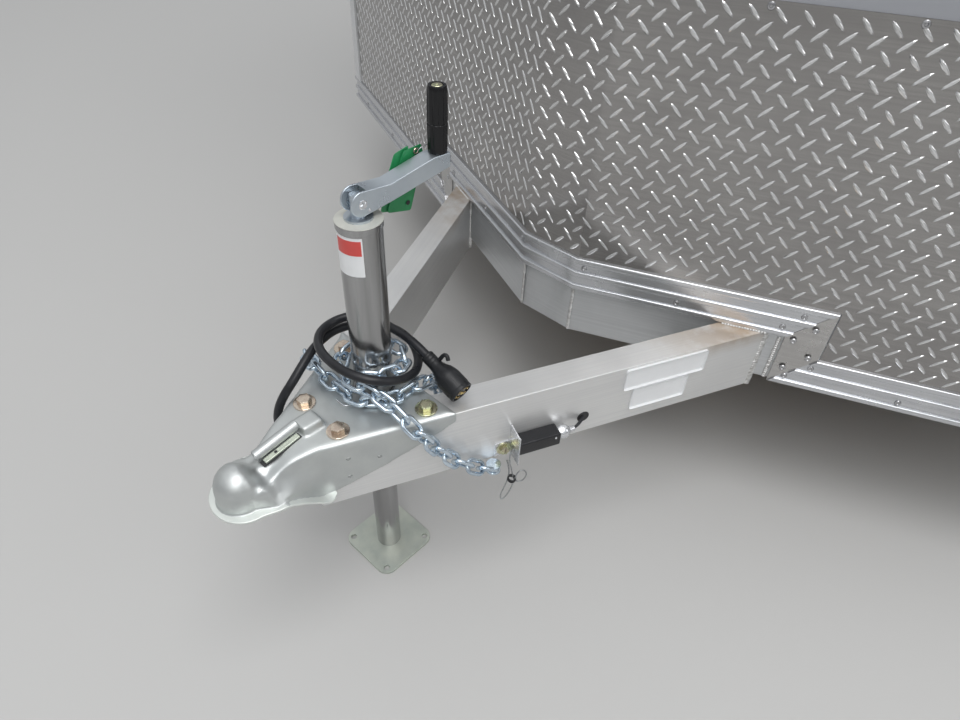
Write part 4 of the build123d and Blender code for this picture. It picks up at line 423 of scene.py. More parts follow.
finishes = {
    "coupler": platedFinish("zincCoupler", (0.56, 0.58, 0.57), (0.48, 0.50, 0.50), 0.42, 18, metal=0.80),
    "latchPlate": platedFinish("greenishZinc", (0.62, 0.66, 0.56), (0.52, 0.56, 0.48), 0.30, 60),
    "jack": platedFinish("zincJackTube", (0.44, 0.44, 0.44), (0.30, 0.30, 0.30), 0.17, 45, drawn=0.04),
    "cap": platedFinish("paleCap", (0.62, 0.62, 0.57), (0.54, 0.54, 0.50), 0.50, 40, metal=0.55),
    "crank": platedFinish("zincCrank", (0.55, 0.60, 0.64), (0.46, 0.51, 0.56), 0.28, 12, metal=0.90, relief=0.0),
    # the lip is the coupler's own zinc made paler: a painted highlight on its up-facing flange
    "lip": platedFinish("paleLip", (0.74, 0.77, 0.74), (0.67, 0.70, 0.67), 0.40, 16, metal=0.55),
    "cable": platedFinish("wireCable", (0.48, 0.49, 0.50), (0.30, 0.31, 0.32), 0.30, 300, 700),
    "foot": platedFinish("zincFoot", (0.60, 0.63, 0.56), (0.48, 0.52, 0.47), 0.42, 26, metal=0.70),
    "chain": platedFinish("zincChain", (0.66, 0.75, 0.83), (0.46, 0.55, 0.64), 0.18, 70),
    "yellow": platedFinish("yellowZinc", (0.62, 0.66, 0.42), (0.52, 0.46, 0.34), 0.24, 90),
    "pink": platedFinish("pinkZinc", (0.66, 0.58, 0.48), (0.50, 0.40, 0.33), 0.17, 90),
    "screw": platedFinish("screwSteel", (0.52, 0.52, 0.53), (0.36, 0.36, 0.37), 0.20, 90, metal=0.90),
    "brass": platedFinish("brassPins", (0.85, 0.66, 0.28), (0.62, 0.44, 0.18), 0.25, 120),
    "steel": platedFinish("brightSteel", (0.76, 0.77, 0.79), (0.60, 0.61, 0.63), 0.22, 90, metal=0.85),
    "weld": platedFinish("weldBeads", (0.74, 0.74, 0.73), (0.44, 0.43, 0.42), 0.36, 120, metal=0.75),
    "railLeft": railFinish("railLeftAluminium", -tongueAngle),
    "railRight": railFinish("railRightAluminium", tongueAngle),
    "frame": aluminiumFinish("frameAluminium", (0.60, 0.61, 0.62), (0.50, 0.51, 0.52), 0.36, 0.0, metal=0.75),
    "trim": aluminiumFinish("trimAluminium", (0.66, 0.67, 0.69), (0.54, 0.55, 0.57), 0.21, 0.0, metal=0.92),
    "post": aluminiumFinish("postAluminium", (0.74, 0.75, 0.76), (0.68, 0.69, 0.70), 0.32, 0.0, metal=0.70),
    "plate": aluminiumFinish("cornerPlate", (0.56, 0.55, 0.54), (0.45, 0.44, 0.43), 0.28, 0.0),
    "tread": aluminiumFinish("treadPlate", (0.37, 0.36, 0.35), (0.29, 0.28, 0.275), 0.15, 0.0),
    # the bars are the plate's own aluminium painted twice as bright as the sheet: a painted highlight on the raised
    # bars
    "bars": aluminiumFinish("treadBars", (0.74, 0.74, 0.74), (0.66, 0.66, 0.66), 0.12, 0.0),
    "wall": paintFinish("wallGrey", (0.31, 0.32, 0.345), 0.32),
    "roof": paintFinish("roofWhite", (0.72, 0.72, 0.71), 0.38),
    "black": mouldedFinish("blackPlastic", (0.012, 0.0125, 0.014), 0.36, glint=0.3),
    "grip": mouldedFinish("gripBlack", (0.006, 0.006, 0.007), 0.20, 160, 0.00002, 0, 0.35),
    "gloss": mouldedFinish("glossBlack", (0.010, 0.010, 0.012), 0.14, 200, 0.00003, 0.2, 0.45),
    "rubber": mouldedFinish("cordRubber", (0.014, 0.0145, 0.017), 0.32, 300, 0.0001, 0.3, 0.32),
    "tyre": mouldedFinish("tyreRubber", (0.024, 0.024, 0.025), 0.72, 500, 0.0004),
    # painted shade: a near-black finish for the slot round the latch plate and for holes, where only shade is seen
    "seal": mouldedFinish("doorSeal", (0.020, 0.020, 0.021), 0.60),
    "wheel": paintFinish("wheelSilver", (0.62, 0.63, 0.65), 0.30, 0.03, 0.5),
    "axle": paintFinish("axleBlack", (0.035, 0.035, 0.038), 0.42, 0.08),
    "deck": plyFinish(),
    "red": lensFinish("redLens", (0.50, 0.012, 0.012)),
    "amber": lensFinish("amberLens", (0.80, 0.26, 0.02)),
    "label": mouldedFinish("whiteLabel", (0.74, 0.75, 0.76), 0.36, 200, 0.00003, 0.04),
    "redBand": mouldedFinish("redLabel", (0.58, 0.07, 0.06), 0.36, 200, 0.00003, 0.08),
    "greenTag": mouldedFinish("greenTag", (0.018, 0.22, 0.075), 0.34, 120, 0.0001, 0.35),
}
print("stage: materials")

# Camera, floor and light
view = {
    "place": (0.6108, -0.2078, 1.1415),     # across, behind the ball, up
    "turn": 41.16,                          # to the trailer's right, from straight back
    "down": 41.65,
    "roll": 2.73,
    "focal": 665 / 960,                     # of the picture's width
}


def addCamera():
    deselect()
    turn, down, roll = (math.radians(view[key]) for key in ("turn", "down", "roll"))
    ahead = Vector((-math.sin(turn) * math.cos(down), math.cos(turn) * math.cos(down), -math.sin(down)))
    across = Vector((math.cos(turn), math.sin(turn), 0))
    above = across.cross(ahead)
    side = math.cos(roll) * across + math.sin(roll) * above
    upward = math.cos(roll) * above - math.sin(roll) * across
    bpy.ops.object.camera_add()
    camera = bpy.context.object
    camera.name = "tongueCamera"
    camera.matrix_world = Matrix.Translation(tongue(*view["place"])) @ axes(side, upward, -ahead)
    camera.data.sensor_width = 36
    camera.data.lens = 36 * view["focal"]
    camera.data.clip_start = 0.02
    camera.data.clip_end = 200
    bpy.context.scene.camera = camera


def addFloor():
    deselect()
    bpy.ops.mesh.primitive_plane_add(size=90, location=(0, 0, 0))
    floor = bpy.context.object
    floor.name = "floor"
    material, shader = startMaterial("paleFloor", (0.46, 0.456, 0.448), 0, 0.85)
    addBump(material, shader, noise(material, 45, 4), 0.05, 0.002)
    floor.data.materials.append(material)


lights = {
    "overhead": {"place": (1.5, -3.1, 5.6), "aim": (0, -2.2, 0.4), "size": 3.6, "power": 165},
    "front": {"place": (2.7, -5.2, 4.3), "aim": (0.1, -2.4, 0.45), "size": 2.0, "power": 42},
    "rearSide": {"place": (-5.5, 4.5, 4.6), "aim": (0, 1.0, 1.0), "size": 4.0, "power": 90},
    "left": {"place": (6.0, 2.0, 4.4), "aim": (0, 0.6, 1.0), "size": 4.0, "power": 90},
}


def addLights():
    for name, light in lights.items():
        deselect()
        bpy.ops.object.light_add(type="AREA", location=light["place"])
        lamp = bpy.context.object
        lamp.name = name
        lamp.data.size = light["size"]
        lamp.data.energy = light["power"]
        look = Vector(light["aim"]) - Vector(light["place"])
        lamp.rotation_euler = look.to_track_quat("-Z", "Y").to_euler()
    world = bpy.data.worlds.new("studio")
    bpy.context.scene.world = world
    world.use_nodes = True
    tree = world.node_tree
    sky = tree.nodes["Background"]
    direction = tree.nodes.new("ShaderNodeTexCoord")
    parts = tree.nodes.new("ShaderNodeSeparateXYZ")
    rise = tree.nodes.new("ShaderNodeValToRGB")
    steps = rise.color_ramp.elements
    steps.new(0.35).color = (0.54, 0.55, 0.56, 1)
    steps[0].color = (0.42, 0.42, 0.42, 1)
    steps[2].color = (0.96, 0.98, 1.0, 1)
    steps[2].position = 0.75
    tree.links.new(direction.outputs["Generated"], parts.inputs["Vector"])
    tree.links.new(parts.outputs["Z"], rise.inputs["Fac"])
    tree.links.new(rise.outputs["Color"], sky.inputs["Color"])
    sky.inputs["Strength"].default_value = 0.86
    bpy.context.scene.view_settings.view_transform = "Standard"


addCamera()
addFloor()
addLights()
print("stage: camera, floor, lights")

# Lighting cord: out of the right rail's underside, up beside the coupler, round the jack, to its plug
cord = {
    "thick": 0.014,
    "length": 1.19,
    "route": [
        (-0.112, 0.304, 0.2861), (-0.112, 0.304, 0.266), (-0.115, 0.284, 0.245), (-0.119, 0.240, 0.236),
        (-0.116, 0.200, 0.240), (-0.108, 0.162, 0.258), (-0.097, 0.134, 0.290), (-0.087, 0.119, 0.330),
        (-0.080, 0.114, 0.368), (-0.079, 0.117, 0.396), (-0.074, 0.128, 0.422), (-0.070, 0.147, 0.444),
        (-0.076, 0.172, 0.459), (-0.086, 0.198, 0.467), (-0.097, 0.226, 0.466), (-0.104, 0.252, 0.463),
        (-0.102, 0.278, 0.460), (-0.088, 0.302, 0.460), (-0.065, 0.320, 0.459), (-0.038, 0.330, 0.458),
        (-0.010, 0.330, 0.456), (0.018, 0.319, 0.454), (0.043, 0.300, 0.456), (0.062, 0.272, 0.464),
        (0.067, 0.240, 0.476), (0.060, 0.211, 0.488), (0.038, 0.192, 0.494), (0.008, 0.183, 0.495),
        (-0.024, 0.184, 0.494), (-0.054, 0.191, 0.490), (-0.080, 0.206, 0.486), (-0.098, 0.226, 0.482),
        (-0.104, 0.250, 0.481), (-0.098, 0.274, 0.483), (-0.080, 0.292, 0.485), (-0.053, 0.302, 0.487),
        (-0.020, 0.304, 0.487),
    ],
    "plugStart": (0.052, 0.308, 0.473),
    "plugEnd": (0.129, 0.309, 0.443),
    "straight": 0.032,       # last run, in line with the plug
}


def addCurve(name, points, radius, sides=5):
    curve = bpy.data.curves.new(name, "CURVE")
    curve.dimensions = "3D"
    spline = curve.splines.new("NURBS")
    spline.points.add(len(points) - 1)
    for point, place in zip(spline.points, points):
        point.co = (*place, 1)
    spline.order_u = 3
    spline.use_endpoint_u = True
    spline.resolution_u = 6
    spline.use_smooth = True
    curve.bevel_depth = radius
    curve.bevel_resolution = sides
    curve.use_fill_caps = True
    piece = bpy.data.objects.new(name, curve)
    bpy.context.scene.collection.objects.link(piece)
    return piece


def addWire(points, radius):
    pick(addCurve("wire", points, radius, 3))
    bpy.ops.object.convert(target="MESH")
    return bpy.context.object


plugStart = tongue(*cord["plugStart"])
plugAxis = (tongue(*cord["plugEnd"]) - plugStart).normalized()


def addPlug():
    place = aim(plugStart, plugAxis)
    body = [
        (0, 0), (0.0095, 0), (0.0105, 0.0012), (0.0105, 0.004), (0.0099, 0.005), (0.0105, 0.006),
        (0.0105, 0.010), (0.0099, 0.011), (0.0105, 0.012), (0.0105, 0.016), (0.0099, 0.017),
        (0.0105, 0.018), (0.0105, 0.022), (0.0112, 0.026), (0.0135, 0.032), (0.0168, 0.038),
        (0.0186, 0.044), (0.0195, 0.049), (0.0195, 0.0725), (0.0189, 0.0735), (0.0195, 0.0745),
        (0.0195, 0.0790), (0.0185, 0.080), (0.0168, 0.0800), (0.0162, 0.0790), (0.0160, 0.0690),
        (0.0085, 0.0690), (0.0082, 0.0780), (0.0076, 0.0788), (0, 0.0788),
    ]
    shell = addTurned(body, place, 44)
    ridges = [addBox((0.0012, 0.003, 0.020), spot, 0.0003) for spot in around(place, 10, 0, 0.0192, 0.0610)]
    plug = smooth(joinPieces([shell, *ridges]), 40)
    blades = [addTurned([(0, 0), (0.0030, 0), (0.0030, 0.0108), (0.0020, 0.0116), (0, 0.0116)],
              place @ Matrix.Translation((0, 0, 0.0692)), 14)]
    blades += [addBox((0.0022, 0.0060, 0.010), spot, 0.0003) for spot in around(place, 6, 0.3, 0.0115, 0.0748)]
    pins = smooth(joinPieces(blades), 40)
    fit(plug, "trailerPlug", "black", "trailer_plug")
    fit(pins, "plugBlades", "brass")
    # the hooked ear that holds the socket's lid
    side = Vector((0, 0, 1)).cross(plugAxis).normalized()
    up = plugAxis.cross(side).normalized()
    ear = {"along": 0.020, "reach": 0.016, "thick": 0.0032}
    root = plugStart + plugAxis * ear["along"] + side * 0.005 + up * 0.008
    bends = [(0, 0, 0), (0.5, 0.003, 0), (1, 0.004, 0.002), (1.15, 0.004, 0.008), (0.85, 0.003, 0.012)]
    hook = [root + up * ear["reach"] * high + side * aside + plugAxis * on for high, aside, on in bends]
    hookMesh = smooth(addWire(hook, ear["thick"]), 60)
    fit(hookMesh, "plugEar", "black")
    return plug, pins, hookMesh


def addCord():
    points = [tongue(*place) for place in cord["route"]]
    points += [plugStart - plugAxis * cord["straight"], plugStart]
    piece = addCurve("trailerCord", points, cord["thick"] / 2)
    piece.data.materials.append(finishes["rubber"])
    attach(piece, "chassis")
    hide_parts("trailer_cord")
    grommet = addTurned(
        [(0.0074, 0), (0.0140, 0), (0.0140, -0.0042), (0.0128, -0.0058), (0.0100, -0.0060), (0.0078, -0.0056),
         (0.0074, 0)],
        at(-0.112, 0.304, railUnder), 32)
    fit(smooth(grommet), "cordGrommet", "black", "cord_grommet")
    list(addPlug())


addCord()
print("stage: cord and plug")

# Breakaway lanyard: a thin wire that hangs in two loops, with a tie round its neck
lanyard = {"thick": 0.0026, "along": 0.350, "out": 0.018, "top": 0.302}


def addLanyard():
    start = onRail(lanyard["along"], lanyard["out"], lanyard["top"])
    out = railNormal()
    drops = [
        (0.007, 0, 0.018), (0.001, 0, 0.015), (-0.001, 0.001, 0.002), (0.000, 0.001, -0.012),
        (0.003, 0.002, -0.026), (0.006, 0.003, -0.040), (0.008, 0.003, -0.052),
        (0.012, 0.005, -0.061), (0.020, 0.007, -0.064), (0.028, 0.008, -0.058), (0.031, 0.008, -0.047),
        (0.027, 0.007, -0.037), (0.019, 0.006, -0.034), (0.013, 0.0055, -0.041), (0.0095, 0.006, -0.053),
        (0.006, 0.007, -0.066), (0.001, 0.008, -0.080), (-0.006, 0.008, -0.093), (-0.013, 0.007, -0.098),
        (-0.014, 0.004, -0.090), (-0.007, 0.001, -0.076), (-0.001, -0.001, -0.063), (0.002, -0.002, -0.050),
        (0.002, -0.003, -0.036), (0.000, -0.004, -0.022), (-0.003, -0.004, -0.010),
    ]
    points = [start + railRun * along + out * aside + Vector((0, 0, down)) for along, aside, down in drops]
    piece = addCurve("lanyardWire", points, lanyard["thick"] / 2, 3)
    piece.data.materials.append(finishes["cable"])
    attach(piece, "chassis")
    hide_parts("breakaway_lanyard")
    tie = addTurned(
        [(0.0058, -0.0035), (0.0074, -0.0030), (0.0078, 0), (0.0074, 0.0030), (0.0058, 0.0035), (0.0058, -0.0035)],
        aim(start + railRun * 0.0055 + out * 0.003 + Vector((0, 0, -0.054)), (0.15, 0.1, 1)), 20)
    fit(smooth(tie), "lanyardTie", "black")


addLanyard()
print("stage: lanyard")

# Safety chains: round wire links, each hanging a quarter turn in the one before
chain = {
    "wire": 0.007,
    "length": 0.044,
    "width": 0.028,
    "pitch": 0.028,
    "ringRadius": 0.050,
    "ringHeight": 0.467,
    "ringRise": 0.017,
    "ringTurns": range(0, 352, 27),
    "riseStart": 200,      # the ring climbs over its own start between these turns
    "riseTurn": 120,
    "left": [
        (0.172, 0.340, 0.276), (0.160, 0.306, 0.303), (0.151, 0.287, 0.320), (0.142, 0.269, 0.340),
        (0.135, 0.251, 0.369), (0.129, 0.235, 0.397), (0.124, 0.221, 0.422), (0.110, 0.213, 0.441),
        (0.092, 0.211, 0.449), (0.072, 0.207, 0.462), (0.048, 0.201, 0.467), (0.024, 0.197, 0.467),
    ],
    "right": [
        (-0.168, 0.332, 0.276), (-0.158, 0.304, 0.300), (-0.147, 0.276, 0.328), (-0.140, 0.246, 0.360),
        (-0.132, 0.221, 0.398), (-0.124, 0.206, 0.428), (-0.104, 0.197, 0.441), (-0.078, 0.193, 0.440),
        (-0.046, 0.191, 0.438), (-0.016, 0.190, 0.437), (0.014, 0.193, 0.437), (0.038, 0.203, 0.437),
        (0.054, 0.224, 0.437), (0.061, 0.252, 0.437), (0.060, 0.280, 0.437), (0.061, 0.300, 0.434),
        (0.062, 0.318, 0.418), (0.062, 0.323, 0.390), (0.062, 0.323, 0.330),
    ],
}


def addLink():
    deselect()
    bend = (chain["width"] - chain["wire"]) / 2
    straight = chain["length"] - chain["width"]
    bpy.ops.mesh.primitive_circle_add(vertices=10, radius=chain["wire"] / 2, location=(straight / 2, -bend, 0),
                                      rotation=(0, math.pi / 2, 0))
    link = settle(bpy.context.object)
    edit(link)
    for middle in (straight / 2, -straight / 2):
        bpy.ops.mesh.spin(steps=9, angle=-math.pi, center=(middle, 0, 0), axis=(0, 0, 1))
        bpy.ops.mesh.extrude_edges_move(TRANSFORM_OT_translate={"value": (-2 * middle, 0, 0)})
    closeUp(0.0001)
    return smooth(link, 60)


# points a pitch apart along a route, where one link hangs in the next
def chainJoints(route):
    joints = [route[0]]
    for start, end in zip(route, route[1:]):
        while (end - joints[-1]).length >= chain["pitch"]:
            run = (end - start).normalized()
            back = joints[-1] - start
            ahead = back.dot(run)
            aside = (back - run * ahead).length
            joints.append(start + run * (ahead + math.sqrt(chain["pitch"] ** 2 - aside ** 2)))
    return joints


def addChain(side, route, link):
    joints = chainJoints([tongue(*place) for place in route])
    links = []
    face = None
    for start, end in zip(joints, joints[1:]):
        along = (end - start).normalized()
        if face is None:
            across = along.cross(Vector((0, 0, 1))).normalized()
            face = (across + across.cross(along)).normalized()
        else:
            face = along.cross(face).normalized()
        links.append(copyPiece(link, Matrix.Translation((start + end) / 2) @ axes(along, face.cross(along), face)))
    fit(joinPieces(links), "safetyChain" + side, "chain", "safety_chain_" + side.lower())


# the eyes under the rails that the chains hang from
def addChainEyes():
    parts = []
    for place in (chain["left"][0], chain["right"][0]):
        top = tongue(*place[:2], railUnder)
        parts.append(addTurned([(0, 0), (0.0120, 0), (0.0124, 0.0006), (0.0120, 0.0024), (0.0060, 0.0028),
                                (0.0045, 0.0060), (0, 0.0062)], aim(top, (0, 0, -1)), 28))
        deselect()
        bpy.ops.mesh.primitive_torus_add(major_radius=0.0095, minor_radius=0.0028, major_segments=32,
                                         minor_segments=12, rotation=(math.pi / 2, 0, math.pi / 5))
        loop = settle(bpy.context.object)
        loop.data.transform(Matrix.Translation(top - Vector((0, 0, 0.0155))))
        parts.append(loop)
    fit(smooth(joinPieces(parts), 40), "chainEyes", "chain")


ring = [
    (-chain["ringRadius"] * math.sin(math.radians(turn)), jackBack - chain["ringRadius"] * math.cos(math.radians(turn)),
     chain["ringHeight"] + chain["ringRise"] * clamp((turn - chain["riseStart"]) / chain["riseTurn"]))
    for turn in chain["ringTurns"]
]
chainLink = addLink()
addChain("Left", chain["left"] + ring, chainLink)
addChain("Right", chain["right"], chainLink)
drop(chainLink)
addChainEyes()
print("stage: chains")


# Coupler: the pressed shell remeshed so that its folds turn softly, as pressed steel does
press = {
    "voxel": 0.0018,
    "edgeEase": 3,         # rounds of smoothing all over
    "foldEase": 36,        # further rounds over the folds, away from the lower edge
    "skirtEase": 95,       # and over the side folds of plate and neck
    "rim": 0.011,          # how far above the lower edge the folds' smoothing starts
    "rimBlend": 0.010,
    "foldEnd": (0.287, 0.004),      # each: place, and the length over which the weight fades
    "skirtSide": (0.024, 0.008),
    "skirtNeck": (0.070, 0.015),
    "skirtStart": (0.004, 0.014),
    "skirtEnd": (0.283, 0.006),
    "neckLow": (0.378, 0.032),      # height, above which the neck is narrowed and let down
    "domeLow": (0.014, 0.022),      # depth under the plate, below which the dome's rim sags
    "keep": 0.34,          # share of the faces kept
    "lower": [(-0.060, 0.372), (0.036, 0.372), (0.098, 0.322), (0.112, 0.322), (0.184, 0.350), (0.250, 0.382),
              (0.289, 0.4059), (0.300, 0.4059)],
    "holes": [(0.094, 0.388), (0.140, 0.375), (0.093, 0.349)],     # along the rail, height
    "holeRadius": 0.0036,
    "domeRadius": 0.033,
    "neckDeep": [(0.0, 0.013), (0.034, 0.013), (0.060, 0.0085), (0.085, 0.0025), (0.100, 0.0)],
    "neckWide": [(0.006, 1.0), (0.020, 0.80), (0.034, 0.62), (0.050, 0.62), (0.070, 0.74), (0.095, 0.93), (0.112, 1.0)],
    "sag": [(0.036, 0.005), (0.060, 0.0)],
}


def lowerEdge(y):
    for (start, low), (end, high) in zip(press["lower"], press["lower"][1:]):
        if start <= y <= end:
            return low + (high - low) * (y - start) / (end - start)
    return press["lower"][-1][1]


def between(table, y):
    if y <= table[0][0]:
        return table[0][1]
    for (start, low), (end, high) in zip(table, table[1:]):
        if y <= end:
            return low + (high - low) * (y - start) / (end - start)
    return table[-1][1]


# how far the neck's top lies below the plate, behind the dome
def neckDrop(y):
    radius = press["domeRadius"]
    if y <= 0:
        return 0.0
    deep = between(press["neckDeep"], y)
    return min(deep, radius - math.sqrt(radius ** 2 - y ** 2)) if y < radius else deep


def shapeNeck(shell):
    neckLow, neckBlend = press["neckLow"]
    domeLow, domeBlend = press["domeLow"]
    for vertex in shell.data.vertices:
        point = vertex.co
        y = point.y - ballY
        high = clamp((point.z - neckLow) / neckBlend)
        point.x *= 1 - (1 - between(press["neckWide"], y)) * high
        point.z -= neckDrop(y) * high
        low = clamp((plateTop - domeLow - point.z) / domeBlend)
        point.z -= between(press["sag"], y) * low


# Smooths a piece, all over or where a weight between 0 and 1 says
def ease(piece, rounds, weight=None):
    group = ""
    if weight:
        group = piece.vertex_groups.new(name="eased").name
        for vertex in piece.data.vertices:
            share = weight(*vertex.co)
            if share > 0:
                piece.vertex_groups[group].add([vertex.index], share, "REPLACE")
    modify(piece, "SMOOTH", factor=0.5, iterations=rounds, vertex_group=group)


def rimShare(y, z):
    return clamp((z - lowerEdge(y - ballY) - press["rim"]) / press["rimBlend"])


def foldShare(x, y, z):
    end, blend = press["foldEnd"]
    return rimShare(y, z) * clamp((ballY + end - y) / blend)


def skirtShare(x, y, z):
    side, sideBlend = press["skirtSide"]
    neck, neckBlend = press["skirtNeck"]
    begin, beginBlend = press["skirtStart"]
    end, endBlend = press["skirtEnd"]
    share = max(clamp((abs(x) - side) / sideBlend), clamp((ballY + neck - y) / neckBlend))
    share *= rimShare(y, z)
    share *= clamp((y - ballY - begin) / beginBlend)
    return share * clamp((ballY + end - y) / endBlend)


# The plate runs on towards the dome as a narrowing ridge, pressed with the shell
def addRidge():
    ridge = addBox((0.092, 0.082, 0.0150), at(0, 0.069, plateTop - 0.0078))
    for vertex in ridge.data.vertices:
        if vertex.co.y < ballY + 0.069:
            vertex.co.x *= 0.36
            vertex.co.z -= 0.0020
    return ridge


# Lip: a strip laid over the shell's flange, from one slanted end round the dome to the other
lip = {
    "legs": [       # inner point, outer point, steps to it
        ((0.0330, 0.0), (0.0500, 0.0), 1),
        ((0.0480, 0.0240), (0.0600, 0.0240), 10),
        ((0.0500, 0.0980), (0.0697, 0.0980), 24),
        ((0.0500, 0.1135), (0.0606, 0.1135), 5),
    ],
    "arcSteps": 28,
    "front": 0.0430,       # its reach ahead of the ball
    "above": 0.0040,
    "thick": 0.0044,
    "ease": 5,
}


def addLip():
    inner, outer = [], []
    for step in range(lip["arcSteps"]):
        turn = math.radians(-90 + 90 * step / lip["arcSteps"])
        inner.append(Vector((math.cos(turn), math.sin(turn))) * lip["legs"][0][0][0])
        outer.append(Vector((math.cos(turn) * lip["legs"][0][1][0], math.sin(turn) * lip["front"])))
    for near, far, steps in lip["legs"]:
        starts = inner[-1], outer[-1]
        for step in range(1, steps + 1):
            inner.append(starts[0].lerp(Vector(near), step / steps))
            outer.append(starts[1].lerp(Vector(far), step / steps))
    for turn in range(lip["ease"]):
        for line in (inner, outer):
            line[1:-1] = [(a + 2 * b + c) / 4 for a, b, c in zip(line, line[1:], line[2:])]
    lines = [[Vector((-point.x, point.y)) for point in reversed(line[1:])] + line for line in (inner, outer)]
    count = len(lines[0])
    deselect()
    bpy.ops.mesh.primitive_grid_add(x_subdivisions=count - 1, y_subdivisions=1, size=1)
    strip = bpy.context.object
    for vertex in strip.data.vertices:
        point = lines[1 if vertex.co.y < 0 else 0][round((vertex.co.x + 0.5) * (count - 1))]
        height = sum(lowerEdge(point.y + shift) for shift in (-0.006, -0.003, 0, 0.003, 0.006)) / 5
        vertex.co = tongue(point.x, point.y, height + lip["above"] - between(press["sag"], point.y))
    edit(strip)
    extrude(-lip["thick"])
    closeUp()
    bevelEdges(strip, 0.0013, 3, 50)
    # its paler finish is a painted highlight on the flange that faces up
    fit(smooth(strip, 40), "couplerLip", "lip")


def addCoupler():
    shell = joinPieces([softNode("coupler_body", 0), addRidge()])
    modify(shell, "REMESH", mode="VOXEL", voxel_size=press["voxel"], adaptivity=0.0)
    shapeNeck(shell)
    ease(shell, press["edgeEase"])
    ease(shell, press["foldEase"], foldShare)
    ease(shell, press["skirtEase"], skirtShare)
    modify(shell, "DECIMATE", ratio=press["keep"])
    drills = []
    for turn in (1, -1):
        for along, z in press["holes"]:
            deselect()
            bpy.ops.mesh.primitive_cylinder_add(vertices=24, radius=press["holeRadius"], depth=0.014)
            drill = settle(bpy.context.object)
            drill.data.transform(aim(onRail(along, 0.0030, z, turn), railNormal(turn)))
            drills.append(drill)
    drill = joinPieces(drills)
    modify(shell, "BOOLEAN", operation="DIFFERENCE", object=drill, solver="EXACT")
    drop(drill)
    fit(smooth(shell, 50), "couplerShell", "coupler", "coupler_body")
    fit(softNode("coupler_clamp", 0.0006), "ballClamp", "coupler", "coupler_clamp")


# Latch: a rolled bar that runs forward from the hood, beside a pale plate set in its slot
latch = {
    "front": 0.0345,
    "back": 0.106,
    "barX": -0.0062,
    "barRadius": 0.0084,
    "plateX": 0.0076,
    "plateWide": 0.0088,
    "plateFront": 0.0400,
    "plateBack": 0.0985,
    "plateFace": 0.0046,
    "holeY": 0.0600,
    "fall": 0.0115,
}


# lays a latch piece down on the neck's slope
def lower(piece):
    slope = math.atan2(latch["fall"], latch["back"] - latch["front"])
    hinge = tongue(0, latch["back"], plateTop)
    piece.data.transform(Matrix.Translation(hinge) @ Matrix.Rotation(slope, 4, "X") @ Matrix.Translation(-hinge))


def addLatch():
    length = latch["back"] - latch["front"]
    middle = (latch["front"] + latch["back"]) / 2
    radius = latch["barRadius"]
    outline = [(0, 0.0030), (radius * 0.62, 0.0030), (radius * 0.70, 0.0004), (radius * 0.78, 0), (radius * 0.92, 0),
               (radius, 0.0008), (radius, length), (0, length)]
    place = aim(tongue(latch["barX"], latch["front"], plateTop + radius * 0.95), (0, 1, 0))
    bar = addTurned(outline, place, 36)
    wing = addBox((0.0050, length - 0.004, 0.0022),
                  at(latch["barX"] - radius, middle + 0.002, plateTop + 0.0012), 0.0008)
    bar = joinPieces([bar, wing])
    lower(bar)
    fit(smooth(bar, 40), "latchBar", "coupler", "coupler_latch")
    # The slot round the plate and the plate's hole are dark pieces laid under it: painted shade in the gap and in the
    # hole
    slot = addBox((latch["plateWide"] + 0.0026, length - 0.001, 0.0016),
                  at(latch["plateX"], middle, plateTop + 0.0006), 0.0005)
    dot = addTurned([(0, 0), (0.0023, 0), (0.0025, 0.0003), (0, 0.00035)],
                    at(latch["plateX"], latch["holeY"], plateTop + latch["plateFace"]), 20)
    dark = joinPieces([slot, dot])
    lower(dark)
    fit(smooth(dark, 40), "latchSlot", "seal")
    middle = (latch["plateFront"] + latch["plateBack"]) / 2
    plate = addBox((latch["plateWide"], latch["plateBack"] - latch["plateFront"], 0.0036),
                   at(latch["plateX"], middle, plateTop + 0.0028), 0.0007, 3)
    ring = addTurned([(0.0024, 0), (0.0034, 0), (0.0032, 0.0004), (0.0025, 0.0004), (0.0024, 0)],
                     at(latch["plateX"], latch["holeY"], plateTop + latch["plateFace"]), 24)
    plate = joinPieces([plate, ring])
    lower(plate)
    fit(smooth(plate, 40), "latchPlate", "latchPlate")
    # the bent edge of a wire clip on the plate
    bends = (-0.012, 0.1805), (0.0045, 0.1800), (0.0085, 0.1820), (0.0125, 0.1900), (0.0205, 0.2060)
    clip = addWire([tongue(x, y, plateTop + 0.0009) for x, y in bends], 0.0012)
    fit(smooth(clip, 60), "wireClip", "steel")


bolt = {
    "places": [(0.040, 0.143), (0.097, 0.263)],
    "flats": 0.019,
    "head": 0.008,
    "washer": 0.017,
    "washerThick": 0.0025,
}


def addHexBolt(place, direction, spin, size=1.0):
    washer = bolt["washer"] * size
    thick = bolt["washerThick"] * size
    high = bolt["head"] * size
    outline = [(0, 0), (washer - 0.0004, 0), (washer, 0.0005), (washer, thick - 0.0006), (washer - 0.0007, thick),
               (0, thick)]
    ringPiece = addTurned(outline, aim(place, direction), 36)
    deselect()
    bpy.ops.mesh.primitive_cylinder_add(vertices=6, radius=bolt["flats"] * size / math.sqrt(3), depth=high)
    head = settle(bpy.context.object)
    edit(head, "DESELECT")
    leaveEdit()
    for face in head.data.polygons:
        face.select = face.normal.z > 0.9
    bpy.ops.object.mode_set(mode="EDIT")
    bpy.ops.mesh.select_mode(type="FACE")
    bpy.ops.mesh.inset(thickness=0.0022 * size, depth=0.0)
    bpy.ops.transform.translate(value=(0, 0, 0.0006 * size))
    leaveEdit()
    bevelEdges(head, 0.00035 * size, 2, 20)
    head.data.transform(aim(Vector(place) + Vector(direction) * (thick + high / 2), direction, spin))
    return [ringPiece, head]


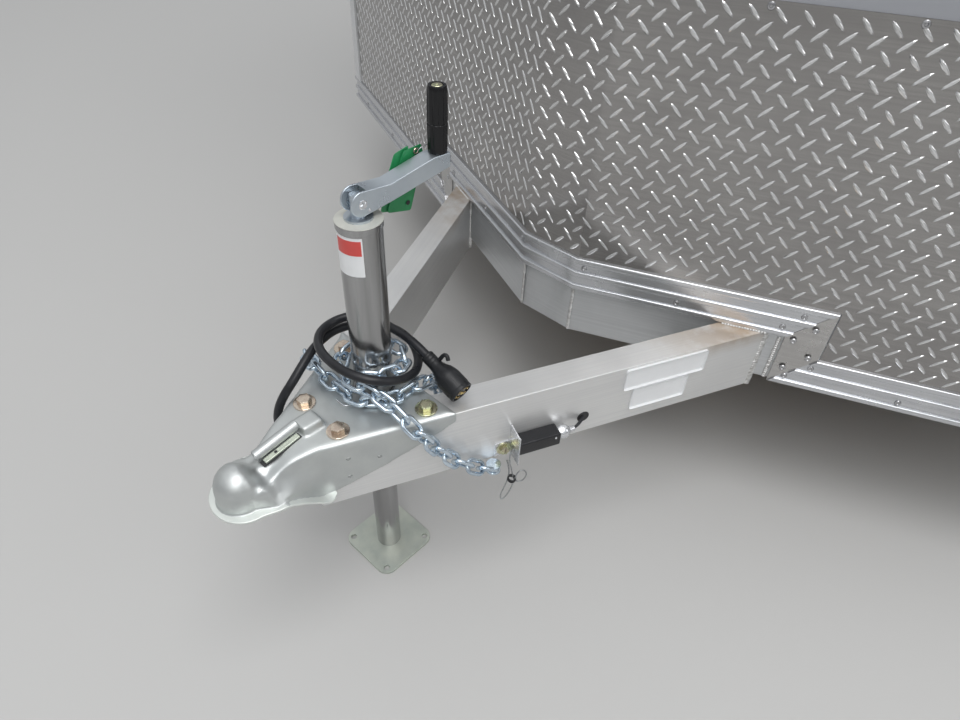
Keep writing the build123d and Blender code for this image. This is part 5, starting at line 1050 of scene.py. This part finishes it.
# Three of the bolts have turned pinkish, the one by the plug is yellow-green
def addCouplerBolts():
    parts = []
    for turn in (1, -1):
        for number, (x, y) in enumerate(bolt["places"]):
            parts.append(addHexBolt(tongue(turn * x, y, plateTop), (0, 0, 1), 0.2 + 0.5 * number - 0.3 * turn))
    fit(smooth(joinPieces(parts.pop(1)), 30), "couplerBoltYellow", "yellow")
    pink = smooth(joinPieces([part for pair in parts for part in pair]), 30)
    fit(pink, "couplerBolts", "pink", "coupler_bolts")


addCoupler()
addLip()
addLatch()
addCouplerBolts()
print("stage: coupler")


# Jack: tube, ram and foot with eased edges, the crank's pressed arm and its ribbed grip
jack = {
    "topZ": 0.7106,
    "pivotZ": 0.735,
    "turn": math.radians(5),
    "reach": 0.129,
    "gripBottom": 0.764,
    "gripTop": 0.850,
    "gripRadius": 0.0137,
    "armHalf": 0.013,
}


def crankPoint(along, aside, z):
    turn = jack["turn"]
    return Vector((math.sin(turn) * along + math.cos(turn) * aside,
                   jackY + math.cos(turn) * along - math.sin(turn) * aside, z))


def addGrip():
    bottom, top, radius = jack["gripBottom"], jack["gripTop"], jack["gripRadius"]
    length = top - bottom
    outline = [(0, 0), (0.86, 0), (0.93, 0.012), (0.95, 0.04), (0.975, 0.2), (1, 0.43), (0.99, 0.442), (0.92, 0.450),
               (0.92, 0.458), (0.99, 0.466), (1, 0.478), (0.99, 0.7), (0.96, 0.92), (0.92, 0.975), (0.84, 1),
               (0.60, 1), (0.58, 0.985), (0, 0.985)]
    grip = addTurned([(radius * r, length * h) for r, h in outline], Matrix(), 80)
    for vertex in grip.data.vertices:       # ten shallow flutes along the grip
        spin = math.atan2(vertex.co.y, vertex.co.x)
        reach = math.hypot(vertex.co.x, vertex.co.y)
        inside = clamp((reach / radius - 0.7) * 6)
        share = vertex.co.z / length
        inside *= clamp(min(share - 0.02, 0.96 - share) * 14)
        pull = 1 - 0.10 * inside * max(0.0, math.cos(10 * spin)) ** 2
        vertex.co.x *= pull
        vertex.co.y *= pull
    grip.data.transform(Matrix.Translation(crankPoint(jack["reach"], 0, bottom)))
    fit(smooth(grip, 50), "crankGrip", "grip", "crank_grip", body="jack_handle")
    screw = addTurned([(0, 0), (0.0070, 0), (0.0074, 0.0006), (0.0066, 0.0013), (0.0020, 0.0013), (0.0016, 0.0004),
                       (0, 0.0004)], Matrix.Translation(crankPoint(jack["reach"], 0, top - 0.0013)), 28)
    fit(smooth(screw), "gripScrew", "yellow", body="jack_handle")


# The rivet's end, staked into a five-pointed star
def addStar(matrix):
    deselect()
    bpy.ops.mesh.primitive_circle_add(vertices=10, radius=0.0052, fill_type="NGON")
    star = bpy.context.object
    for number, vertex in enumerate(star.data.vertices):
        if number % 2:
            vertex.co *= 0.55
    edit(star)
    extrude(0.0018)
    bpy.ops.transform.resize(value=(0.75, 0.75, 1))
    closeUp()
    star.data.transform(matrix)
    return star


def addJack():
    fit(softNode("jack_tube", 0.0006), "jackTube", "jack", "jack_tube")
    fit(softNode("jack_ram", 0.0006), "jackRam", "jack", "jack_ram", body="jack_leg")
    fit(softNode("jack_foot", 0.0012), "jackFoot", "foot", "jack_foot", body="jack_leg")
    fit(softNode("jack_crank", 0.0011, 3), "crankArm", "crank", "jack_crank", body="jack_handle")
    fit(softNode("crank_head", 0.0006), "crankHead", "crank", "crank_head", body="jack_handle")
    cap = addTurned([(0, 0), (0.0315, 0), (0.0319, 0.0005), (0.0316, 0.0012), (0.0200, 0.0016), (0, 0.0016)],
                    Matrix.Translation((0, jackY, jack["topZ"] - 0.0002)), 56)
    fit(smooth(cap), "jackCap", "cap")
    rivets = []
    sideways = crankPoint(0, 1, 0) - crankPoint(0, 0, 0)
    for turn in (1, -1):
        place = crankPoint(0, turn * jack["armHalf"], jack["pivotZ"])
        rivets.append(addTurned([(0, 0), (0.0060, 0), (0.0062, 0.0005), (0.0054, 0.0010), (0, 0.0010)],
                                aim(place, sideways * turn), 24))
        rivets.append(addStar(aim(place + sideways * turn * 0.0008, sideways * turn, 0.3)))
        small = crankPoint(0.009, turn * jack["armHalf"], jack["pivotZ"] - 0.010)
        rivets.append(addTurned([(0, 0), (0.0022, 0), (0.0020, 0.0005), (0, 0.0006)], aim(small, sideways * turn), 14))
    fit(smooth(joinPieces(rivets)), "crankRivets", "steel", body="jack_handle")
    addGrip()


# A label bent round a tube: the near part of a thin sleeve, with a band across it
def addTubeLabel(name, low, high, start, end, out, finish):
    deselect()
    radius = 0.030 + out
    bpy.ops.mesh.primitive_circle_add(vertices=96, radius=radius, location=(0, jackY, low))
    label = settle(bpy.context.object)
    edit(label, "DESELECT")
    leaveEdit()
    for vertex in label.data.vertices:
        spin = math.degrees(math.atan2(vertex.co.y - jackY, vertex.co.x))
        vertex.select = not start <= spin <= end
    bpy.ops.object.mode_set(mode="EDIT")
    bpy.ops.mesh.delete(type="VERT")
    bpy.ops.mesh.select_all(action="SELECT")
    bpy.ops.mesh.extrude_edges_move(TRANSFORM_OT_translate={"value": (0, 0, high - low)})
    closeUp()
    modify(label, "SOLIDIFY", thickness=out * 0.8)
    fit(smooth(label), name, finish)


# The green tag on the crank: two folded leaves on a wire through an eyelet
tag = {
    "aside": -0.0185,
    "thick": 0.0011,
    "near": [(0.0880, 0.7690), (0.1200, 0.7690), (0.1240, 0.7560), (0.1110, 0.7221), (0.0961, 0.6812), (0.0600, 0.6870),
             (0.0730, 0.7350)],
    "far": [(0.0755, 0.7670), (0.0981, 0.7730), (0.0900, 0.7200), (0.0780, 0.6850), (0.0526, 0.6880), (0.0618, 0.7267),
            (0.0660, 0.7423)],
    "eyelet": (0.1090, 0.7630),
    "hole": (0.0915, 0.6942),
}


def curl(along):
    return 5.0 * (along - 0.09) ** 2


def addLeaf(corners, aside):
    deselect()
    bpy.ops.mesh.primitive_circle_add(vertices=len(corners), radius=1, fill_type="NGON")
    leaf = bpy.context.object
    for vertex, (along, z) in zip(leaf.data.vertices, corners):
        vertex.co = (along, z, 0)
    edit(leaf)
    bpy.ops.mesh.bevel(offset=0.003, segments=3, affect="VERTICES")
    bpy.ops.mesh.select_all(action="SELECT")
    extrude(tag["thick"])
    closeUp()
    bevelEdges(leaf, 0.0003, 2, 50)
    for vertex in leaf.data.vertices:          # each leaf is a little curled
        along, z, deep = vertex.co
        vertex.co = crankPoint(along, aside - deep - curl(along), z)
    edit(leaf)
    closeUp()
    return leaf


def addTag():
    leaves = [addLeaf(tag["near"], tag["aside"]), addLeaf(tag["far"], tag["aside"] - 0.0026)]
    fit(smooth(joinPieces(leaves), 40), "crankTag", "greenTag", body="jack_handle")
    across = crankPoint(0, 1, 0) - crankPoint(0, 0, 0)
    along, z = tag["eyelet"]
    eyelet = addTurned([(0.0022, -0.0004), (0.0042, -0.0004), (0.0044, 0.0002), (0.0038, 0.0009), (0.0026, 0.0009),
                        (0.0022, 0.0003), (0.0022, -0.0004)],
                       aim(crankPoint(along, tag["aside"] + 0.0004 - curl(along), z), across), 24)
    fit(smooth(eyelet), "tagEyelet", "pink", body="jack_handle")
    # the tag's punched hole is a dark disc on the leaf: painted shade
    along, z = tag["hole"]
    hole = addTurned([(0, 0), (0.0034, 0), (0.0034, 0.0002), (0, 0.0003)],
                     aim(crankPoint(along, tag["aside"] + 0.0002 - curl(along), z), across), 20)
    fit(hole, "tagHole", "seal", body="jack_handle")
    along, z = tag["eyelet"]
    reach = jack["reach"]
    bends = [(along, tag["aside"] + 0.001, z), (along + 0.003, tag["aside"] + 0.004, z + 0.006),
             (reach - 0.006, -0.0150, 0.7700), (reach + 0.006, -0.0140, 0.7680), (reach + 0.0145, -0.004, 0.7660),
             (reach + 0.0135, 0.006, 0.7660)]
    fit(addWire([crankPoint(*bend) for bend in bends], 0.0005), "tagWire", "steel", body="jack_handle")


addJack()
addTubeLabel("jackLabel", 0.6410, 0.6985, -118, -30, 0.0003, "label")
addTubeLabel("jackLabelBand", 0.6730, 0.6945, -112, -35, 0.0005, "redBand")
addTag()
print("stage: jack")

# Stone guard: tread plate bars on the sheet that is bent round the nose
tread = {
    "inset": 0.006,            # the sheet's face behind the trim's
    "pitch": 0.0350,
    "rise": 0.0356,
    "firstAlong": 0.0055,
    "firstZ": 0.8060,
    "long": 0.028,
    "wide": 0.0062,
    "high": 0.0014,
    "top": 0.930,
    "bottom": 0.3827,
    "margin": 0.004,           # bars nearer than this to an edge are left out
    "rows": range(-4, 13),
    "overRail": 0.4858,        # lower edge where the upper rub rail runs
    "railEnd": 0.4467,         # end of the upper rub rail and its corner plate
    "end": 1.1613,
}


def addTreadBar(slope):
    deselect()
    bpy.ops.mesh.primitive_circle_add(vertices=8, radius=0.5, fill_type="NGON")
    bar = bpy.context.object
    bar.scale = (tread["long"], tread["wide"], 1)
    settle(bar)
    edit(bar)
    extrude(tread["high"])
    bpy.ops.transform.resize(value=(0.84, 0.42, 1))
    closeUp()
    bar.data.transform(Matrix.Rotation(math.radians(slope), 4, "Z"))
    return bar


# where a flat sheet's point comes to lie on the bent plate; the bars' height is out of it
def foldRoundNose(point):
    turn = 1 if point.x >= 0 else -1
    half = onNose(0, tread["inset"], 0).x
    inset = tread["inset"] - point.z
    if abs(point.x) <= half:
        return Vector((point.x, noseY + inset, point.y))
    return onNose(abs(point.x) - half, inset, point.y, turn)


def treadLow(along):
    return tread["overRail"] if along < tread["railEnd"] else tread["bottom"]


def addTread():
    half = onNose(0, tread["inset"], 0).x
    bars = []
    for turn in (1, -1):
        for slope, shift in ((-45, 0.0), (45, 0.5)):
            bar = addTreadBar(slope * turn)
            columns = int(tread["end"] / tread["pitch"]) + 3
            for column in range(-2, columns):
                along = tread["firstAlong"] + (column + shift) * tread["pitch"]
                x = turn * (half + along)
                if along + 0.006 > tread["end"] or turn * x < tread["margin"] * (turn + 1):
                    continue
                for row in tread["rows"]:
                    z = tread["firstZ"] - (row + shift) * tread["rise"]
                    if treadLow(along) + tread["margin"] < z < tread["top"] - tread["margin"]:
                        bars.append(copyPiece(bar, Matrix.Translation((x, z, 0))))
            drop(bar)
    print("tread bars", len(bars))
    sheet = joinPieces(bars)
    for vertex in sheet.data.vertices:
        low = treadLow(abs(vertex.co.x) - half)
        vertex.co.y = min(tread["top"], max(low, vertex.co.y))
        vertex.co = foldRoundNose(vertex.co)
    # the bars' brighter finish is a painted highlight
    fit(sheet, "treadBars", "bars")
    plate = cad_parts["stone_guard"]
    plate.data.materials.clear()
    plate.data.materials.append(finishes["tread"])


addTread()
print("stage: tread plate")


# Screws, welds and other small fixings, each modelled once and copied
def addScrew(radius=0.0056, high=0.0026):
    outline = [(0, 0), (radius, 0), (radius, high * 0.25), (radius * 0.82, high * 0.75), (radius * 0.45, high),
               (radius * 0.32, high * 0.62), (0, high * 0.6)]
    return smooth(addTurned(outline, Matrix(), 12))


def addRow(name, model, places, finish):
    copies = [copyPiece(model, aim(place, direction)) for place, direction in places]
    fit(smooth(joinPieces(copies), 40), name, finish)


welds = {
    "frameLow": 0.320,
    "frameHigh": 0.418,
    "railLow": 0.294,
    "railHigh": 0.124,
    "railInner": -0.0508,
    "plateAlong": 0.3735,
    "plateHigh": 0.094,
}
fixings = {
    "guardTopZ": 0.923,
    "guardPitch": 0.185,
    "upper": [(0.0140, 0.4665), (0.1870, 0.4375)],      # screws: distance from the bend, height
    "lower": [(0.5970, 0.3335), (0.8500, 0.3335), (1.1000, 0.3335)],
    "plate": [(0.4215, 0.4455), (0.3945, 0.4160), (0.4290, 0.3860), (0.3960, 0.3545)],
    "end": [(0.3965, 0.4655), (0.3700, 0.4370), (0.4415, 0.3630), (0.4055, 0.3340)],
}


def addNoseScrews():
    screw = addScrew()
    spots = [(0.014 + number * fixings["guardPitch"], 0.0060, fixings["guardTopZ"]) for number in range(7)]
    for group, inset in (("upper", 0.0045), ("lower", 0.0045), ("plate", 0.0), ("end", 0.0045)):
        spots += [(along, inset, z) for along, z in fixings[group]]
    places = [(onNose(*spot, turn), noseNormal(turn)) for turn in (1, -1) for spot in spots]
    addRow("noseScrews", screw, places, "screw")
    drop(screw)


# A weld: overlapping flattened beads in a row
def addWeld(start, end, facing, width=0.007, step=0.0034):
    deselect()
    bpy.ops.mesh.primitive_uv_sphere_add(segments=10, ring_count=6, radius=0.5)
    bead = bpy.context.object
    bead.scale = (width * 0.62, width, width * 0.46)
    settle(bead)
    start, end = Vector(start), Vector(end)
    along = (end - start).normalized()
    facing = Vector(facing).normalized()
    grid = axes(along, facing.cross(along), facing)
    count = int((end - start).length / step) + 1
    dice = random.Random(7)
    beads = []
    for number in range(count):
        place = start + along * number * step + facing * dice.uniform(-0.0002, 0.0002)
        size = dice.uniform(0.9, 1.12)
        beads.append(copyPiece(bead, Matrix.Translation(place) @ grid @ Matrix.Scale(size, 4)))
    drop(bead)
    return smooth(joinPieces(beads), 60)


def addWelds():
    seams = []
    railLow = welds["railLow"]
    for turn in (1, -1):
        foot = onNose(0.0, 0.0082, welds["frameLow"], turn)
        facing = Vector((turn * math.sin(rake / 2), -math.cos(rake / 2), 0))
        seams.append(addWeld(foot, foot + Vector((0, 0, welds["frameHigh"] - welds["frameLow"])), facing))
        # both sides of each tongue rail where it meets the nose frame, its top, and the seam by the corner plate
        ends = []
        for out in (welds["railInner"], 0.0):
            start = onRail(0, out, railLow, turn)
            run = onRail(1, out, railLow, turn) - start
            depth = (onNose(0, 0.0080, railLow, turn) - start).dot(noseNormal(turn)) / run.dot(noseNormal(turn))
            ends.append(start + run * depth)
            facing = (noseNormal(turn) + railNormal(turn) * (1 if out == 0 else -1)).normalized()
            seams.append(addWeld(ends[-1], ends[-1] + Vector((0, 0, welds["railHigh"])), facing, 0.013, 0.0048))
        lift = Vector((0, 0, frameTop - railLow)) + noseNormal(turn) * 0.0075
        seams.append(addWeld(ends[0] + lift, ends[1] + lift, noseNormal(turn) + Vector((0, 0, 1)), 0.009, 0.0048))
        seam = onNose(welds["plateAlong"], 0.0076, welds["frameLow"], turn)
        seams.append(addWeld(seam, seam + Vector((0, 0, welds["plateHigh"])), noseNormal(turn), 0.009, 0.0045))
    fit(joinPieces(seams), "frameWelds", "weld")


addNoseScrews()
addWelds()
print("stage: screws and welds")


# Labels on the left rail, left blank
def addRailLabel(name, first, last, low, high):
    size = (last - first, high - low, 0.0004)
    middle = onRail((first + last) / 2, 0.0003, (low + high) / 2)
    label = addBox(size, Matrix())
    edit(label, "DESELECT")
    leaveEdit()
    for edge in label.data.edges:
        ends = [label.data.vertices[index].co for index in edge.vertices]
        edge.select = abs(ends[0].z - ends[1].z) > 0.0001
    bpy.ops.object.mode_set(mode="EDIT")
    bpy.ops.mesh.select_mode(type="EDGE")
    bpy.ops.mesh.bevel(offset=0.004, segments=3)
    leaveEdit()
    label.data.transform(Matrix.Translation(middle) @ railAxes)
    fit(label, name, "label")


addRailLabel("railLabelUpper", 0.560, 0.7215, 0.369, 0.414)
addRailLabel("railLabelLower", 0.581, 0.693, 0.318, 0.366)

# Breakaway switch: a black case, a bright bent bracket, its bolt and its wires into the rail
switch = {
    "front": 0.358,
    "back": 0.436,
    "middle": 0.324,
    "high": 0.026,
    "deep": 0.027,
    "plateHigh": 0.062,
    "footZ": 0.310,
}


def addSwitch():
    middle = onRail((switch["front"] + switch["back"]) / 2, switch["deep"] / 2 + 0.001, switch["middle"])
    case = addBox((switch["back"] - switch["front"], switch["high"], switch["deep"]),
                  Matrix.Translation(middle) @ railAxes, 0.003, 3)
    fit(smooth(case), "switchCase", "gloss", "breakaway_switch")
    dot = addScrew(0.0022, 0.0010)
    dot.data.transform(aim(onRail(switch["back"] - 0.010, switch["deep"] + 0.001, switch["middle"] + 0.006),
                           railNormal()))
    fit(dot, "switchScrew", "steel")
    middle = onRail(switch["front"] - 0.0015, 0.018, switch["middle"] + 0.006)
    plate = addBox((0.002, switch["plateHigh"], 0.036), Matrix.Translation(middle) @ railAxes, 0.0006)
    foot = addBox((0.028, 0.030, 0.002),
                  Matrix.Translation(onRail(switch["front"] - 0.0145, 0.001, switch["footZ"])) @ railAxes, 0.0006)
    fit(smooth(joinPieces([plate, foot])), "switchBracket", "steel")
    boltParts = addHexBolt(onRail(0.345, 0.002, switch["footZ"]), railNormal(), 0.3, 0.75)
    fit(smooth(joinPieces(boltParts), 30), "switchBolt", "yellow")
    dome = addTurned([(0, 0), (0.0090, 0), (0.0094, 0.002), (0.0112, 0.006), (0.0120, 0.011), (0.0112, 0.016),
                      (0.0088, 0.020), (0.0060, 0.0225), (0.0052, 0.026), (0.0046, 0.032), (0, 0.032)],
                     aim(onRail(switch["back"] - 0.001, 0.0145, switch["middle"] + 0.001), railRun), 32)
    fit(smooth(dome), "switchEnd", "steel")
    wires = []
    for shift in (-0.004, 0.003):
        start = onRail(switch["back"] + 0.026, 0.0145 + shift * 0.5, switch["middle"] + shift * 0.5)
        end = onRail(0.490, 0.0005, 0.329 + shift)
        bend = (start + end) / 2 + railNormal() * 0.007 + Vector((0, 0, 0.002))
        wires.append(addWire([start, bend, end], 0.0024))
    fit(joinPieces(wires), "switchWires", "rubber")
    # where the wires go into the rail, a dark disc with a raised rim: painted shade of the hole
    hole = addTurned([(0, 0.0002), (0.0088, 0.0002), (0.0092, 0.0008), (0.0108, 0.0008), (0.0112, 0.0001), (0.0112, 0),
                      (0, 0)], aim(onRail(0.491, 0.0001, 0.330), railNormal()), 28)
    fit(hole, "wireHole", "seal")


addSwitch()
print("stage: switch")

# Wheels: tyres with a grooved tread, wheel nuts and a centre cap
wheels = {
    "radius": 0.332,
    "half": 0.1015,
    "rim": 0.1778,
    "nuts": 5,
    "nutCircle": 0.05715,
    "nutTurn": 0.3,
}


def addTyre(name, centre, turn):
    radius, half, rim = wheels["radius"], wheels["half"], wheels["rim"]
    groove = 0.0075
    side = [(rim + 0.004, half * 0.70), (rim + 0.016, half * 0.86), (rim + 0.045, half * 0.97),
            (rim + 0.080, half), (rim + 0.112, half * 0.965), (rim + 0.132, half * 0.87), (radius - 0.010, half * 0.80),
            (radius - 0.0025, half * 0.72)]
    tops = [0.52, 0.47, 0.17, 0.12]
    crown = [(radius - 0.0015, half * tops[0]), (radius - groove, half * tops[0] - 0.001),
             (radius - groove, half * tops[1]), (radius, half * tops[1] - 0.001), (radius, half * tops[2]),
             (radius - groove, half * tops[2] - 0.001), (radius - groove, half * tops[3]),
             (radius, half * tops[3] - 0.001)]
    outer = side + crown
    outline = outer + [(r, -x) for r, x in reversed(outer)] + [(rim - 0.002, -half * 0.66), (rim - 0.002, half * 0.66)]
    outline.append(outline[0])
    place = aim(centre, (turn, 0, 0))
    tyre = addTurned(outline, Matrix(), 90)
    for vertex in tyre.data.vertices:        # blocks along both shoulders
        reach = math.hypot(vertex.co.x, vertex.co.y)
        step = round(math.degrees(math.atan2(vertex.co.y, vertex.co.x)) / 4) % 3
        if step == 0 and reach > radius - 0.012 and abs(vertex.co.z) > half * 0.6:
            scale = 1 - 0.006 / reach
            vertex.co.x *= scale
            vertex.co.y *= scale
    tyre.data.transform(place)
    fit(smooth(tyre, 28), "tyre" + camel(name), "tyre", "tyre_" + name, "wheel_" + name)


def addWheelParts(name, centre, turn):
    hub = softNode("wheel_" + name, 0.0012)
    nuts = []
    for number in range(wheels["nuts"]):
        angle = 2 * math.pi * number / wheels["nuts"] + wheels["nutTurn"]
        y = centre.y + wheels["nutCircle"] * math.cos(angle)
        z = centre.z + wheels["nutCircle"] * math.sin(angle)
        depth = faceBelow(hub, y, z, turn)
        nuts.append(addTurned([(0, 0), (0.0115, 0), (0.0108, 0.004), (0.0098, 0.005), (0.0092, 0.016), (0.0070, 0.019),
                               (0, 0.0195)], aim((depth, y, z), (turn, 0, 0)), 6))
    capX = faceBelow(hub, centre.y, centre.z, turn)
    cap = addTurned([(0, 0), (0.031, 0), (0.031, 0.006), (0.029, 0.014), (0.024, 0.018), (0, 0.020)],
                    aim((capX - turn * 0.001, centre.y, centre.z), (turn, 0, 0)), 36)
    body = "wheel_" + name
    fit(smooth(joinPieces(nuts + [cap]), 30), "wheelNuts" + camel(name), "steel", body=body)
    fit(hub, "rim" + camel(name), "wheel", body, body)


# a wheel's outer face at a point, found by looking straight in at it
def faceBelow(wheel, y, z, turn):
    bpy.context.view_layer.update()
    found = wheel.ray_cast(Vector((turn * 2.0, y, z)), Vector((-turn, 0, 0)))
    return found[1].x


for axle in ("front", "rear"):
    for side, turn in (("left", 1), ("right", -1)):
        name = axle + "_" + side
        low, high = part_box("tyre_" + name)
        centre = (low + high) / 2
        addTyre(name, centre, turn)
        addWheelParts(name, centre, turn)
print("stage: wheels")

# Rivets along the walls' seams, but not over the side door or the wheel boxes
walls = {
    "panel": 1.22,
    "rivetPitch": 0.15,
    "low": 0.52,
    "high": 2.30,
    "archTop": 0.86,
    "archGap": 0.1,        # no rivets nearer than this to an arch, and to a door
    "doorGap": 0.05,
}


def addRivets():
    outline = [(0, 0), (0.0045, 0), (0.0038, 0.0011), (0.0016, 0.0016), (0, 0.0016)]
    rivet = smooth(addTurned(outline, Matrix(), 8))
    places = []
    wallLow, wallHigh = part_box("side_wall_left")
    doorLow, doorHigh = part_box("side_door")
    archLow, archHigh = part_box("wheel_box_left")
    for turn in (1, -1):
        x = turn * wallHigh.x
        count = int((wallHigh.y - wallLow.y - 0.1) / walls["panel"]) + 1
        seams = [wallLow.y + 0.095 + number * walls["panel"] for number in range(count)] + [wallHigh.y - 0.02]
        for y in seams:
            z = walls["low"]
            while z < walls["high"]:
                inDoor = turn < 0 and doorLow.y - walls["doorGap"] < y < doorHigh.y + walls["doorGap"]
                inArch = z < walls["archTop"] and archLow.y - walls["archGap"] < y < archHigh.y + walls["archGap"]
                if not inDoor and not inArch:
                    places.append((Vector((x, y, z)), Vector((turn, 0, 0))))
                z += walls["rivetPitch"]
    addRow("wallRivets", rivet, places, "trim")
    drop(rivet)


addRivets()
print("stage: rivets")

# The nodes that keep their shape: eased edges on those that catch light, and their finish
kept = {
    "chassis": [
        ("tongue_rail_left", "railLeft", 0.0014), ("tongue_rail_right", "railRight", 0.0014),
        ("frame_nose", "frame", 0.003), ("frame_sides", "frame", 0.003), ("frame_main_rails", "frame", 0.003),
        ("frame_cross_members", "frame", 0.002), ("frame_rear_sill", "frame", 0.0008),
        ("rub_rail_upper", "trim", 0.0004), ("rub_rails_lower", "trim", 0.0004),
        ("rail_corner_plates", "plate", 0.0006), ("front_posts", "post", 0.0006), ("top_trim", "post", 0.0012),
        ("arch_trims", "post", 0.0015), ("rear_frame", "post", 0.003), ("nose_wall", "wall", 0.001),
        ("side_wall_left", "wall", 0.001), ("side_wall_right", "wall", 0.001), ("roof", "roof", 0.004),
        ("wheel_box_left", "axle", 0.001), ("wheel_box_right", "axle", 0.001), ("floor_deck", "deck", 0.001),
        ("axle_front", "axle", 0.0015), ("axle_rear", "axle", 0.0015), ("tail_lamps", "red", 0.003),
        ("marker_lamps", "amber", 0.002), ("side_door_frame", "post", 0.0006), ("lock_keepers", "steel", 0.001),
    ],
    "side_door": [
        ("side_door", "wall", 0.002), ("side_door_lock", "steel", 0.001),
    ],
    "ramp_door": [
        ("ramp_door", "wall", 0.002), ("ramp_hinge", "frame", 0.0008), ("ramp_locks", "steel", 0.001),
    ],
}
for body, nodes in kept.items():
    for node, finish, width in nodes:
        name = node[0] + camel(node)[1:]
        fit(softNode(node, width), name, finish, node, body)
print("stage: kept nodes")
